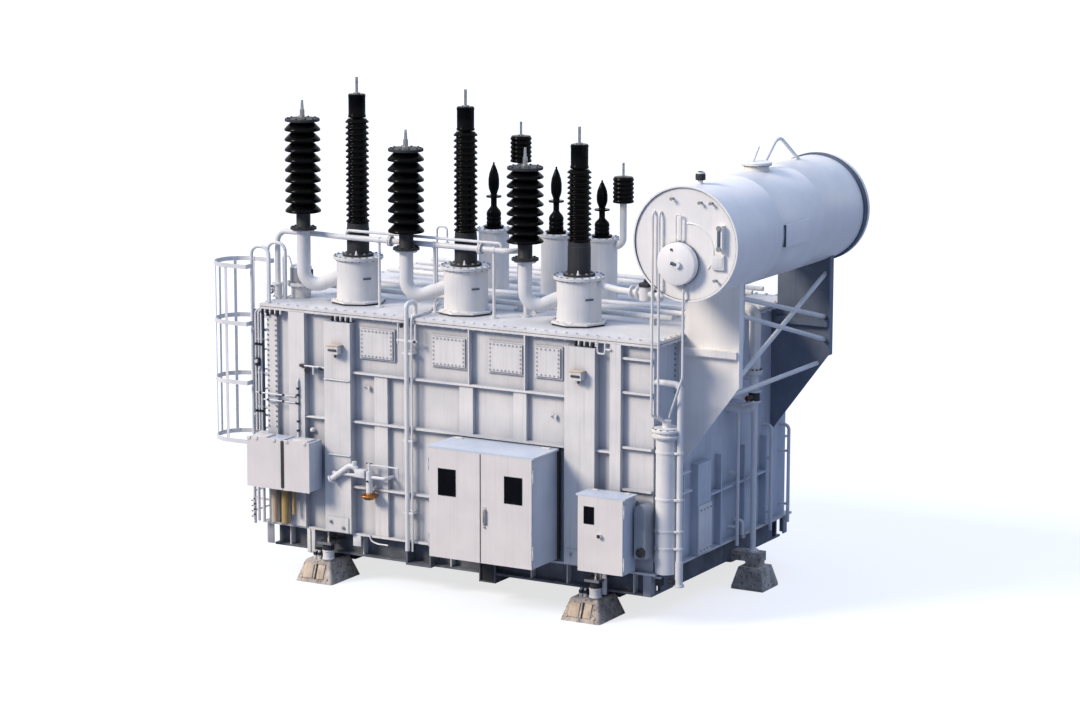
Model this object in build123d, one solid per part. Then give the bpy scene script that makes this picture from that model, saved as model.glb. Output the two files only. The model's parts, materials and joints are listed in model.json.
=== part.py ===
from build123d import *
import os

# Power transformer, oil filled, in millimetres
# X runs along the front face, Y into the depth, Z up from the ground under the feet
# The values are given from the middle of the tank's plan, and the finished part is
# moved so that its origin is the bottom centre of its own box

# Fits
seat_gap = 0.3
cut_over = 5
door_gap = 6

# Tank
tank_length = 6000
tank_width = 4000
wall_t = 16
floor_top = 720
floor_t = 30
floor_overhang = 80
wall_height = 3030
rim_t = 35
rim_overhang = 85
cover_t = 40

# Skid, cross beams and feet
skid_bottom = 370
skid_width = 260
skid_web = 40
skid_flange = 30
skid_inset = 40
skid_end_t = 40
skid_bracket_shares = (-0.1263, -0.0595)
skid_bracket_depth = 100
skid_bracket_t = 30
cross_width = 300
cross_depth = 200
cross_clear = 60
cross_haunch = 150
cross_overhang = 40
foot_x_shares = (-0.349, 0.3483)
foot_out = 330
foot_width = 600
foot_length = 760
foot_top_width = 420
foot_top_length = 520
foot_height = 300
foot_plate_t = 40
jack_side = 130
jack_in = 80
jack_radius = 75
jack_neck_radius = 50
jack_neck = 60
jack_height = 240
jack_lug_t = 35
jack_lug_width = 220
jack_rib_t = 24
end_foot_y_share = 0.1275
end_foot_out = 270
end_foot_width = 480
end_foot_top_width = 340
end_neck_width = 200
end_arm_height = 130
end_arm_over = 120

# Wall stiffening, placed by shares of the wall's length and height
rib_depth = 95
rib_t = 30
thin_rib_t = 20
upper_rib_share = 0.7393
middle_rib_share = 0.5149
lower_rib_share = 0.2145
column_depth = 140
column_drop = 110
column_left_shares = (-0.3333, -0.2633)
column_right_shares = (0.2917, 0.3667)
pillar_box_shares = (-0.4333, -0.39)
pillar_strip_shares = (-0.4975, -0.47)
pillar_depth = 110
strip_depth = 60
stiff_depth = 70
stiff_long_shares = (-0.2058, -0.1712)
stiff_short_a_shares = (0.0177, 0.0527)
stiff_short_b_shares = (0.1567, 0.1897)
top_rib_shares = (0.044, 0.187)
corner_post_shares = (0.4, 0.4267)
corner_rib_shares = (0.3564, 0.5413, 0.7822, 0.9307)
end_column_shares = (-0.23, -0.135)
end_column_depth = 110
end_rib_shares = (-0.0475, 0.13, 0.3)
end_rib_share = 0.2492
column_lug_drop = 420
column_lug_width = 170
column_lug_height = 110
column_lug_out = 120
column_pad_height = 208
column_pad_inset = 40
column_pad_t = 12

# Hand hole covers
hand_width = 560
hand_height = 440
hand_drop = 375
hand_frame_t = 30
hand_lid_t = 22
hand_lid_inset = 25
hand_x_shares = (-0.2017, -0.012, 0.1343, 0.2417)
hand_last_width = 420

# High voltage turrets and their slim bushings
hv_setback = 670
hv_x_shares = (-0.325, -0.0375, 0.2533)
hv_turret_radius = 300
hv_turret_height = 650
hv_flange_radius = 348
hv_flange_t = 36
hv_foot_radius = 330
hv_foot_t = 24
hv_base_flange_radius = 215
hv_base_flange_t = 30
hv_collar_radius = 155
hv_collar_height = 460
hv_core_radius = 128
hv_shed_radius = 163
hv_shed_drop_share = 0.55
hv_shed_heights = (1910, 1830, 1430)
hv_shed_counts = (18, 17, 14)
hv_head_radius = 120
hv_head_height = 320
hv_head_chamfer = 14
hv_spike_radius = 20
hv_spike_height = 230

# Line bushings on cranked pipes
line_setback = 330
line_x_shares = (-0.4367, -0.16, 0.1483)
line_rises = (1010, 850, 850)
line_heights = (1530, 1380, 1250)
line_counts = (9, 8, 8)
line_flange_radius = 182
line_flange_t = 32
line_neck_radius = 98
line_neck_height = 200
line_core_radius = 165
line_shed_radius = 248
line_shed_edge = 30
line_cap_radius = 240
line_cap_t = 38
line_spike_radius = 34
line_spike_tip = 16
line_spike_height = 250
crank_radius = 95
crank_bend = 190
crank_float = 60
crank_rise = 300
crank_flange_radius = 150
crank_flange_t = 28

# Low voltage turrets and candle bushings
lv_y_share = 0.075
lv_x_shares = (-0.1233, 0.0433, 0.1633)
lv_turret_radius = 215
lv_turret_height = 910
lv_flange_radius = 240
lv_flange_t = 30
lv_heights = (930, 930, 790)
lv_base_radius = 138
lv_base_share = 0.045
lv_body_radius = 98
lv_body_share = 0.27
lv_shoulder_share = 0.33
lv_neck_radius = 42
lv_disc_radius = 108
lv_disc_share = 0.47
lv_disc_t = 26
lv_bulb_radius = 76
lv_bulb_low_share = 0.62
lv_bulb_high_share = 0.86
lv_tip_radius = 12

# Neutral bushings and their stand pipes
neutral_radius = 145
neutral_ring_in = 12
neutral_height = 360
neutral_rings = 6
neutral_spike_radius = 17
neutral_spike = 190
neutral_pipe_radius = 48
neutral_a_x_share = 0.05
neutral_a_y_share = -0.1875
neutral_a_rise = 2020
neutral_b_side = 330
neutral_b_rise = 1410
neutral_b_drop = 560
neutral_b_bend = 120
neutral_b_side_rise = 690
neutral_flange_radius = 95
neutral_flange_t = 22

# Collecting pipe
collect_radius = 38
collect_bend = 150
collect_rise = 925
collect_side = 180
collect_side_drop = 450
collect_start_setback = 520
collect_setback = 470
collect_first_share = -0.4083
collect_join_share = -0.3583
collect_end_share = 0.1067
collect_back = 330
collect_foot_radius = 75
collect_foot_t = 25

# Thin vent pipe above the collecting pipe
vent_radius = 20
vent_rise = 95
vent_x_shares = (-0.335, 0.075)
vent_bend = 50

# Relay pipe from the last turret to the conservator
relay_radius = 42
relay_bend = 120
relay_start_drop = 60
relay_drop = 146
relay_x_shares = (0.356, 0.4833)
relay_side = 150
relay_body_radius = 80
relay_body_height = 180
relay_body_share = 0.55

# Pipes along the cover
cover_pipe_y_shares = (-0.225, -0.13, -0.05, 0.175, 0.275, 0.375, 0.4625)
cover_pipe_radius = 35
cover_pipe_rise = 110
cover_pipe_length_share = 0.9
cover_saddle_shares = (-0.4, -0.13, 0.1, 0.4)
cover_saddle_width = 60

# Relief unit
relief_x_share = -0.48
relief_setback = 640
relief_low_radius = 140
relief_low_height = 170
relief_flange_radius = 195
relief_flange_t = 45
relief_drum_radius = 145
relief_drum_height = 210
relief_dome = 30

# Conservator
oil_drum_side = 490
oil_drum_rise = 1320
oil_drum_radius = 725
oil_drum_wall = 12
oil_drum_over = 60
oil_drum_short = 100
oil_rim_radius = 752
oil_rim_t = 28
oil_dish = 70
manway_x = -70
manway_z = -250
manway_neck_radius = 235
manway_neck = 90
manway_lid_radius = 275
manway_lid_t = 30
manway_handle_radius = 12
manway_handle_span = 170
manway_handle_out = 60
oil_cap_set = 360
oil_cap_radius = 58
oil_cap_neck_radius = 34
oil_cap_neck = 60
oil_cap_height = 95
hatch_share = 0.505
hatch_radius = 170
hatch_height = 70
hatch_flange_radius = 205
hatch_flange_t = 28
bow_radius = 25
bow_start = 100
bow_middle = 660
bow_end = 1390
bow_sink = 50
bow_rise = 395
bow_bend = 250

# Fittings on the conservator's front end
gauge_x = (468, 557)
gauge_z = (-35, 278)
gauge_out = 130
bracket_x = (388, 560)
bracket_z = (-291, -112)
bracket_out = 90
davit_x = (-114, -42)
davit_z = (47, 381)
davit_out = 100
davit_radius = 12
davit_bend = 30

# Conservator support
plate_y_shares = (-0.325, 0.375)
plate_t = 26
plate_reach = 870
plate_low_drop = 1780
plate_outer_drop = 620
plate_rise = 850
plate_edge_depth = 110
plate_beam_drop = 130
plate_beam_height = 90
plate_beam_depth = 80
brace_radius = 32
brace_inset = 70
brace_shares = ((0.033, 0.75), (0.8, 0.3457), (0.651, 0.1358))
tie_inset = 170
tie_drop = 130

# Oil main from the cover
main_radius = 80
main_x_share = 0.4667
main_y_share = 0.0375
main_rise = 130
main_out = 400
main_drop = 670
main_bend = 120
main_flange_radius = 110
main_flange_t = 25

# Conservator drain pipe
drain_radius = 42
drain_y_share = -0.015
drain_offset = 190
drain_drop = 190
drain_low_drop = 670
drain_wall_x = 150
drain_bend = 110
drain_foot_radius = 80
drain_foot_t = 24

# Control cabinet
control_x_shares = (0.01, 0.27)
control_depth = 690
control_back_gap = 60
control_rise = 30
control_height = 1470
cabinet_t = 14
cabinet_door_t = 22
cabinet_roof_t = 26
cabinet_roof_over = 30
bracket_width = 120
bracket_t = 30
window_width = 270
window_height = 360
window_drop = 260
window_in = 140
glass_t = 8
handle_width = 26
handle_height = 190
handle_out = 40
handle_in = 60

# Hinges
knuckle_radius = 9
knuckle_out = 16
knuckle_length = 60
knuckle_gap = 0.4
hinge_inset_share = 0.15
leaf_t = 6
leaf_clear = 3

# Drive cabinet
drive_x_shares = (0.3608, 0.4708)
drive_depth = 330
drive_back_gap = 160
drive_rise = 40
drive_height = 1000
drive_window_width = 150
drive_window_height = 230
drive_window_in = 90
drive_window_drop = 130
knob_radius = 30
knob_out = 45
knob_in_share = 0.5
knob_drop = 500

# Terminal boxes
box_a_shares = (-0.5117, -0.4192)
box_b_shares = (-0.4125, -0.345)
box_depth = 430
box_rise = 580
box_height = 680
box_lid_t = 18
box_lid_over = 12

# Filter column at the front right corner
filter_side = 170
filter_setback = 40
filter_radius = 140
filter_rise = 10
filter_height = 1790
filter_ring_radius = 165
filter_ring_height = 150
filter_neck_radius = 60
filter_neck = 90

# Oil pipes from the conservator's end to the filter
oil_pipe_radius = 16
oil_pipe_bend = 60
oil_pipe_out = 100
oil_pipe_sides = (-445, -350)
oil_pipe_rise = 390
oil_pipe_low = 330
slant_drop = 550
slant_low_drop = 1728

# Pipes on the right end wall
wall_pipe_radius = 24
wall_pipe_out = 140
wall_pipe_y_shares = (0.053, 0.3135, 0.455)
wall_pipe_top_shares = (0.5921, 0.4617, 0.428)
wall_pipe_bottom_drop = 90
wall_pipe_bend = 70
wall_clamp_shares = (0.05, 0.3)

# Motor housing beside the drive cabinet
motor_x_shares = (0.4767, 0.5033)
motor_depth = 260
motor_rise = 227
motor_height = 719
motor_disc_radius = 55
motor_disc_rise = 67
motor_disc_out = 40

# Drain valve on the front wall
valve_x_shares = (-0.308, -0.165)
valve_rise = 840
valve_out = 190
valve_pipe_radius = 23
valve_bend = 40
valve_body_radius = 45
valve_body_share = 0.695
valve_body_drop = 257
valve_body_rise = 80
valve_stub_radius = 20
valve_stub_share = 0.304
valve_stub_rise = 124

# Front vertical pipes
riser_x_share = -0.1138
riser_radius = 32
riser_bottom_drop = 133
riser_top_rise = 200
riser_back = 227
riser_bend = 70
riser_foot_radius = 60
riser_foot_t = 20
conduit_side = 79
conduit_radius = 14
conduit_end_drop = 400
riser_clamp_shares = (0.1254, 0.4554, 0.8515)
riser_clamp_t = 30
riser_clamp_width = 130

# Ladder and cage
ladder_side = 280
ladder_setback = 220
ladder_half_width = 200
stringer_radius = 24
ladder_bottom = 640
ladder_rise = 770
ladder_hook_in = 10
ladder_hook_bend = 120
rung_radius = 13
rung_pitch = 280
rung_first = 180
ladder_bracket_shares = (0.0924, 0.4884, 0.8845)
ladder_bracket_size = 30
cage_radius = 350
cage_reach = 690
hoop_t = 8
hoop_height = 60
hoop_shares = (0.301, 0.5128, 0.7245, 0.9286)
strap_t = 8
strap_width = 40
strap_angles = (0, 45, 90, 135, 180)


def block(x, y, z):
    """A box between two bounds on each axis."""
    size = (x[1] - x[0], y[1] - y[0], z[1] - z[0])
    low = (Align.MIN, Align.MIN, Align.MIN)
    return Pos(x[0], y[0], z[0]) * Box(*size, align=low)


def round_bar(radius, x, y, z):
    """An upright cylinder between two heights."""
    low = (Align.CENTER, Align.CENTER, Align.MIN)
    return Pos(x, y, z[0]) * Cylinder(radius, z[1] - z[0], align=low)


def turned(outline):
    """A solid of revolution about Z from an outline of radius and height."""
    face = make_face(Polyline(*[(r, 0, z) for r, z in outline], close=True))
    return revolve(face, Axis.Z)


def tube_path(points, bend, radius):
    """A round pipe along straight runs joined by tangent bends."""
    if len(points) > 2:
        path = FilletPolyline(*points, radius=bend)
    else:
        path = Line(*points)
    section = Plane(origin=path @ 0, z_dir=path % 0) * Circle(radius)
    return sweep(section, path=path)


def mirrored(solids):
    """The same pieces on the other side of the tank, seen along Y."""
    return [solid.mirror(Plane.XZ) for solid in solids]


def along(shares):
    """Places along the tank from shares of its length, with zero in the middle."""
    return tuple(share * tank_length for share in shares)


def across(share):
    """A place across the tank from a share of its width, with zero in the middle."""
    return share * tank_width


def up_wall(share):
    """A height on the wall from a share of its height above the floor."""
    return floor_top + share * wall_height


# Levels and places that several pieces share
front = -tank_width / 2
right = tank_length / 2
left = -right
wall_top = floor_top + wall_height
cover_top = wall_top + cover_t
floor_bottom = floor_top - floor_t
foot_xs = along(foot_x_shares)
foot_y = front - foot_out + foot_length / 2
end_foot_x = right + end_foot_out
end_foot_y = across(end_foot_y_share)
end_arm_top = skid_bottom + end_arm_height
upper_rib_z = up_wall(upper_rib_share)
middle_rib_z = up_wall(middle_rib_share)
lower_rib_z = up_wall(lower_rib_share)
end_rib_z = up_wall(end_rib_share)
corner_rib_zs = [up_wall(share) for share in corner_rib_shares]
column_top = wall_top - column_drop
column_lug_z = wall_top - column_lug_drop
column_left = along(column_left_shares)
column_right = along(column_right_shares)
pillar_box = along(pillar_box_shares)
pillar_strip = along(pillar_strip_shares)
stiff_long = along(stiff_long_shares)
stiff_short_a = along(stiff_short_a_shares)
stiff_short_b = along(stiff_short_b_shares)
top_rib_xs = along(top_rib_shares)
corner_post = along(corner_post_shares)
end_column_y = [across(share) for share in end_column_shares]
end_rib_ys = [across(share) for share in end_rib_shares]
hand_xs = along(hand_x_shares)
hand_z = wall_top - hand_drop
hv_y = front + hv_setback
hv_xs = along(hv_x_shares)
hv_turret_top = cover_top + hv_turret_height
hv_collar_top = hv_turret_top + hv_collar_height
hv_shed_tops = [hv_turret_top + height for height in hv_shed_heights]
line_y = front + line_setback
line_xs = along(line_x_shares)
line_seats = [cover_top + rise for rise in line_rises]
lv_y = across(lv_y_share)
lv_xs = along(lv_x_shares)
lv_turret_top = cover_top + lv_turret_height
neutral_a_x = tank_length * neutral_a_x_share
neutral_a_y = across(neutral_a_y_share)
neutral_a_seat = cover_top + neutral_a_rise
neutral_b_x = lv_xs[2] + neutral_b_side
neutral_b_seat = cover_top + neutral_b_rise
relief_x = tank_length * relief_x_share
relief_y = front + relief_setback
oil_drum_x = right + oil_drum_side
oil_drum_z = cover_top + oil_drum_rise
oil_drum_front = front - oil_drum_over
oil_drum_length = tank_width + oil_drum_over - oil_drum_short
plate_ys = [across(share) for share in plate_y_shares]
plate_low = wall_top - plate_low_drop
plate_outer_low = wall_top - plate_outer_drop
plate_top = cover_top + plate_rise
control_x = along(control_x_shares)
control_bottom = floor_top + control_rise
drive_x = along(drive_x_shares)
drive_bottom = floor_top + drive_rise
box_a_x = along(box_a_shares)
box_b_x = along(box_b_shares)
box_bottom = floor_top + box_rise
filter_x = right + filter_side
filter_y = front + filter_setback
filter_bottom = floor_top + filter_rise
filter_top = filter_bottom + filter_height
riser_x = tank_length * riser_x_share
ladder_x = left - ladder_side
ladder_y = front + ladder_setback
ladder_top = cover_top + ladder_rise
hoop_zs = [ladder_bottom + share * (ladder_top - ladder_bottom) for share in hoop_shares]


# Underframe
def skid_beam():
    """One long I beam under the front edge of the tank floor."""
    y0 = front + skid_inset
    y1 = y0 + skid_width
    mid = (y0 + y1) / 2
    x = (left + skid_inset, right - skid_inset)
    web = block(x, (mid - skid_web / 2, mid + skid_web / 2), (skid_bottom, floor_bottom))
    low = block(x, (y0, y1), (skid_bottom, skid_bottom + skid_flange))
    high = block(x, (y0, y1), (floor_bottom - skid_flange, floor_bottom))
    return web + low + high


def skid_bracket():
    """The bracket under the floor's front edge: a foot plate between two cheeks."""
    x0, x1 = along(skid_bracket_shares)
    y = (front + skid_inset - skid_bracket_depth, front + skid_inset)
    t = skid_bracket_t
    z = (skid_bottom, floor_bottom)
    web = (y[0], y[1] + (skid_width - skid_web) / 2)
    foot = block((x0, x1), y, (skid_bottom, skid_bottom + t))
    return foot + block((x0, x0 + t), web, z) + block((x1 - t, x1), web, z)


def skid_ends():
    """The end plates that close the underframe between the two long beams."""
    y = (front + skid_inset + skid_width, -front - skid_inset - skid_width)
    z = (skid_bottom, floor_bottom)
    a = block((left + skid_inset, left + skid_inset + skid_end_t), y, z)
    b = block((right - skid_inset - skid_end_t, right - skid_inset), y, z)
    return [a, b]


def cross_beam(x):
    """A haunched beam across the underframe, thin over the pads and deep between them."""
    thin = -foot_y - foot_top_length / 2 - cross_clear
    deep = thin - cross_haunch
    low = skid_bottom - cross_depth
    end = -front + cross_overhang
    outline = Polyline((-end, skid_bottom), (end, skid_bottom), (end, foot_height),
                       (thin, foot_height), (deep, low), (-deep, low), (-thin, foot_height),
                       (-end, foot_height), close=True)
    half = cross_width / 2
    return Pos(x - half, 0, 0) * extrude(Plane.YZ * make_face(outline), amount=cross_width)


def pad(x, y, size, top):
    """A cast pad with a plate at its foot and four sloping sides."""
    plate = block((x - size[0] / 2, x + size[0] / 2), (y - size[1] / 2, y + size[1] / 2),
                  (0, foot_plate_t))
    low = Pos(x, y, foot_plate_t) * Rectangle(*size)
    high = Pos(x, y, foot_height) * Rectangle(*top)
    return plate + loft([low, high])


def foot_pad(x):
    """The pad under the front end of a cross beam."""
    return pad(x, foot_y, (foot_width, foot_length), (foot_top_width, foot_top_length))


def jack_place(x):
    """Where a jack stands on its pad, clear of the beam's end."""
    return x + jack_side, foot_y - foot_top_length / 2 + jack_in


def foot_jack(x):
    """The jack that stands on a pad, and the plate with a rib that it lifts by."""
    jx, jy = jack_place(x)
    top = foot_height + jack_height
    body = round_bar(jack_radius, jx, jy, (foot_height, top - jack_neck))
    neck = round_bar(jack_neck_radius, jx, jy, (top - jack_neck, top))
    half = jack_lug_width / 2
    web = front + skid_inset + skid_width / 2 - skid_web / 2
    plate = block((jx - half, jx + half), (jy - half, web), (top, top + jack_lug_t))
    rib_y = front + skid_inset - seat_gap
    rib = block((jx - jack_rib_t / 2, jx + jack_rib_t / 2), (jy, rib_y), (top + jack_lug_t, floor_bottom))
    return body + neck + plate + rib


def end_foot():
    """The pad beyond the right end, its neck and the arm that ties it to the underframe."""
    size = (end_foot_width, end_foot_width)
    base = pad(end_foot_x, end_foot_y, size, (end_foot_top_width, end_foot_top_width))
    half = end_neck_width / 2
    y = (end_foot_y - half, end_foot_y + half)
    neck = block((end_foot_x - half, end_foot_x + half), y, (foot_height, skid_bottom))
    arm = block((right - skid_inset, end_foot_x + end_arm_over), y, (skid_bottom, end_arm_top))
    return base + neck + arm


# Tank
def tank_floor():
    """The floor plate, that stands out past the walls."""
    x = right + floor_overhang
    y = -front + floor_overhang
    return block((-x, x), (-y, y), (floor_bottom, floor_top))


def front_columns():
    """The two deep box columns, with a lifting lug near the top of each."""
    solids = []
    for x in (column_left, column_right):
        y = front - column_depth
        body = block(x, (y, front), (floor_top, column_top))
        mid = (x[0] + x[1]) / 2
        half = column_lug_width / 2
        lug = block((mid - half, mid + half), (y - column_lug_out, y),
                    (column_lug_z - column_lug_height, column_lug_z))
        doubler = block((x[0] + column_pad_inset, x[1] - column_pad_inset), (y - column_pad_t, y),
                        (floor_top, floor_top + column_pad_height))
        solids.append(body + lug + doubler)
    return solids


def front_ribs():
    """Every rib and stiffener on the front wall apart from the deep columns."""
    y = (front - rib_depth, front)
    thin = (front - stiff_depth, front)
    half = rib_t / 2
    rim = wall_top - rim_t
    inner = (column_left[1], column_right[0])
    bars = [block((pillar_box[1], column_left[0]), y, (upper_rib_z - half, upper_rib_z + half)),
            block(inner, y, (upper_rib_z - half, upper_rib_z + half)),
            block(inner, y, (middle_rib_z - half, middle_rib_z + half)),
            block((column_left[1], control_x[0] - rib_depth), y, (lower_rib_z - half, lower_rib_z + half)),
            block((column_right[1], corner_post[0]), y, (middle_rib_z - half, middle_rib_z + half))]
    for z in corner_rib_zs:
        bars.append(block((corner_post[1], right), thin, (z - half, z + half)))
    for x in top_rib_xs:
        t = thin_rib_t / 2
        bars.append(block((x - t, x + t), y, (upper_rib_z, rim)))
    bars.append(block(stiff_long, thin, (floor_top, upper_rib_z)))
    for x in (stiff_short_a, stiff_short_b):
        bars.append(block(x, thin, (middle_rib_z, upper_rib_z)))
    bars.append(block(pillar_box, (front - pillar_depth, front), (floor_top, rim)))
    bars.append(block(pillar_strip, (front - strip_depth, front), (floor_top, rim)))
    bars.append(block(corner_post, y, (floor_top, rim)))
    return bars


def long_wall(ribs):
    """A long wall plate with its rim flange and the ribs given."""
    plate = block((left, right), (front, front + wall_t), (floor_top, wall_top))
    rim = block((left - rim_overhang, right + rim_overhang), (front - rim_overhang, front),
                (wall_top - rim_t, wall_top))
    wall = plate + rim
    for rib in ribs:
        wall = wall + rib
    return wall


def end_wall():
    """The right end wall with its rim flange, box column and ribs."""
    y = front + wall_t
    plate = block((right - wall_t, right), (y, -y), (floor_top, wall_top))
    rim = block((right, right + rim_overhang), (front, -front), (wall_top - rim_t, wall_top))
    column = block((right, right + end_column_depth), end_column_y, (floor_top, plate_low))
    wall = plate + rim + column
    half = rib_t / 2
    for rib_y in end_rib_ys:
        wall = wall + block((right, right + rib_depth), (rib_y - half, rib_y + half),
                            (floor_top, plate_low))
    return wall + block((right, right + rib_depth), (end_column_y[1], end_rib_ys[2]),
                        (end_rib_z - half, end_rib_z + half))


def tank_cover():
    """The flat bolted cover plate."""
    x = right + rim_overhang
    y = -front + rim_overhang
    return block((-x, x), (-y, y), (wall_top, cover_top))


def hand_hole(x, width):
    """A raised frame and bolted lid on the front wall."""
    half = width / 2
    rise = hand_height / 2
    y1 = front - hand_frame_t
    frame = block((x - half, x + half), (y1, front), (hand_z - rise, hand_z + rise))
    half = half - hand_lid_inset
    rise = rise - hand_lid_inset
    return frame + block((x - half, x + half), (y1 - hand_lid_t, y1), (hand_z - rise, hand_z + rise))


def hand_holes():
    """The four hand hole covers along the top of the front wall."""
    widths = [hand_width] * (len(hand_xs) - 1) + [hand_last_width]
    return [hand_hole(x, width) for x, width in zip(hand_xs, widths)]


# Turrets and bushings
def turret(x, y, radius, top, flange, flange_t):
    """A round turret with its top flange and a weld-on foot ring."""
    foot = (hv_foot_radius - hv_turret_radius) + radius
    outline = [(0, cover_top), (foot, cover_top), (foot, cover_top + hv_foot_t),
               (radius, cover_top + hv_foot_t), (radius, top - flange_t),
               (flange, top - flange_t), (flange, top), (0, top)]
    return Pos(x, y, 0) * turned(outline)


def shed_steps(count, low, high, core, rim, drop):
    """The stepped outline of a stack of sheds, each with a sloping top."""
    pitch = (high - low) / count
    points = []
    for i in range(count):
        z = low + i * pitch
        points += [(core, z), (rim, z), (core, z + pitch * drop)]
    return points


def slim_bushing(x, top, count):
    """A slim bushing with many small sheds, a plain head and a stud."""
    z0 = hv_turret_top
    head = top + hv_head_height
    points = [(0, z0), (hv_base_flange_radius, z0), (hv_base_flange_radius, z0 + hv_base_flange_t),
              (hv_collar_radius, z0 + hv_base_flange_t), (hv_collar_radius, hv_collar_top)]
    points += shed_steps(count, hv_collar_top, top, hv_core_radius, hv_shed_radius, hv_shed_drop_share)
    points += [(hv_core_radius, top), (hv_head_radius, top), (hv_head_radius, head - hv_head_chamfer),
               (hv_head_radius - hv_head_chamfer, head), (hv_spike_radius, head),
               (hv_spike_radius, head + hv_spike_height), (0, head + hv_spike_height)]
    return Pos(x, hv_y, 0) * turned(points)


def line_bushing(x, seat, height, count):
    """A bushing with wide rounded sheds on a narrow neck."""
    low = seat + line_flange_t + line_neck_height
    top = seat + height
    pitch = (top - line_cap_t - low) / count
    points = [(0, seat), (line_flange_radius, seat), (line_flange_radius, seat + line_flange_t),
              (line_neck_radius, seat + line_flange_t), (line_neck_radius, low)]
    for i in range(count):
        z = low + i * pitch
        points += [(line_shed_radius, z), (line_shed_radius, z + line_shed_edge),
                   (line_core_radius, z + pitch - line_shed_edge), (line_core_radius, z + pitch)]
    points += [(line_cap_radius, top - line_cap_t), (line_cap_radius, top), (line_spike_radius, top),
               (line_spike_tip, top + line_spike_height), (0, top + line_spike_height)]
    return Pos(x, line_y, 0) * turned(points)


def crank_pipe(x, seat, turret_x):
    """A cranked pipe from a turret's side to the seat of a line bushing."""
    low = cover_top + crank_float + crank_radius
    points = [(x, line_y, seat), (x, line_y, low), (turret_x, hv_y, low + crank_rise)]
    pipe = tube_path(points, crank_bend, crank_radius)
    flange = round_bar(crank_flange_radius, x, line_y, (seat - crank_flange_t, seat))
    clear = round_bar(hv_turret_radius + seat_gap, turret_x, hv_y, (cover_top, hv_turret_top))
    return pipe + flange - clear


def candle_bushing(x, height):
    """A small bushing with a lower body, a disc and a pear-shaped top."""
    z0 = lv_turret_top
    disc = z0 + height * lv_disc_share
    base = z0 + height * lv_base_share
    body = z0 + height * lv_body_share
    shoulder = z0 + height * lv_shoulder_share
    low = z0 + height * lv_bulb_low_share
    high = z0 + height * lv_bulb_high_share
    points = [(0, z0), (lv_base_radius, z0), (lv_base_radius, base), (lv_body_radius, base),
              (lv_body_radius, body), (lv_neck_radius, shoulder), (lv_neck_radius, disc),
              (lv_disc_radius, disc), (lv_disc_radius, disc + lv_disc_t),
              (lv_neck_radius, disc + lv_disc_t), (lv_bulb_radius, low),
              (lv_bulb_radius, (low + high) / 2), (lv_neck_radius, high),
              (lv_tip_radius, z0 + height), (0, z0 + height)]
    return Pos(x, lv_y, 0) * turned(points)


def ringed_bushing(x, y, seat):
    """A short cylinder with rings and a stud."""
    pitch = neutral_height / neutral_rings
    inner = neutral_radius - neutral_ring_in
    points = [(0, seat)]
    for i in range(neutral_rings):
        z = seat + i * pitch
        points += [(neutral_radius, z), (neutral_radius, z + pitch / 2), (inner, z + pitch / 2),
                   (inner, z + pitch)]
    top = seat + neutral_height
    points += [(neutral_spike_radius, top), (neutral_spike_radius, top + neutral_spike),
               (0, top + neutral_spike)]
    return Pos(x, y, 0) * turned(points)


def neutral_pipes():
    """The straight stand pipe and the bent one on the last turret."""
    straight = round_bar(neutral_pipe_radius, neutral_a_x, neutral_a_y, (cover_top, neutral_a_seat))
    foot = round_bar(neutral_flange_radius, neutral_a_x, neutral_a_y,
                     (cover_top, cover_top + neutral_flange_t))
    side_x = lv_xs[2]
    points = [(neutral_b_x, lv_y, neutral_b_seat), (neutral_b_x, lv_y, neutral_b_seat - neutral_b_drop),
              (side_x, lv_y, cover_top + neutral_b_side_rise)]
    bent = tube_path(points, neutral_b_bend, neutral_pipe_radius)
    clear = round_bar(lv_turret_radius + seat_gap, side_x, lv_y, (cover_top, lv_turret_top))
    return [straight + foot, bent - clear]


# Cover piping
def collecting_pipe():
    """The pipe that runs along the turrets above the cover."""
    x0 = left - collect_side
    x1, x2, x3 = along((collect_first_share, collect_join_share, collect_end_share))
    y0 = front + collect_start_setback
    y1 = front + collect_setback
    low = wall_top - collect_side_drop
    high = cover_top + collect_rise
    points = [(left, y0, low), (x0, y0, low), (x0, y0, high), (x1, y0, high), (x2, y1, high),
              (x3, y1, high), (x3, y1 + collect_back, high), (x3, y1 + collect_back, cover_top)]
    pipe = tube_path(points, collect_bend, collect_radius)
    flat = (Align.CENTER, Align.CENTER, Align.MIN)
    side = Pos(left, y0, low) * Rot(0, -90, 0)
    pipe = pipe + side * Cylinder(collect_foot_radius, collect_foot_t, align=flat)
    return pipe + round_bar(collect_foot_radius, points[-1][0], points[-1][1],
                            (cover_top, cover_top + collect_foot_t))


def vent_pipe():
    """The thin pipe above the collecting pipe, seated on it at both ends."""
    x0, x1 = along(vent_x_shares)
    y = front + collect_setback
    low = cover_top + collect_rise
    high = low + vent_rise
    pipe = tube_path([(x0, y, low), (x0, y, high), (x1, y, high), (x1, y, low)], vent_bend, vent_radius)
    long = x1 - x0 + collect_bend
    seat = Pos((x0 + x1) / 2, y, low) * Rot(0, 90, 0) * Cylinder(collect_radius + seat_gap, long)
    return pipe - seat


def relay_pipe():
    """The pipe from the last turret through its relay up into the conservator."""
    x0, x1 = along(relay_x_shares)
    start = (hv_xs[2], hv_y, hv_turret_top - relay_start_drop)
    z = hv_turret_top - relay_drop
    end_y = hv_y - relay_side
    points = [start, (x0, hv_y, z), (x1, end_y, z), (x1, end_y, oil_drum_z)]
    pipe = tube_path(points, relay_bend, relay_radius)
    share = relay_body_share
    half = relay_body_height / 2
    body_x = x0 + share * (x1 - x0)
    body = round_bar(relay_body_radius, body_x, hv_y - share * relay_side, (z - half, z + half))
    clear = round_bar(hv_turret_radius + seat_gap, hv_xs[2], hv_y, (cover_top, hv_turret_top))
    return pipe + body - clear - drum_clear()


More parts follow.
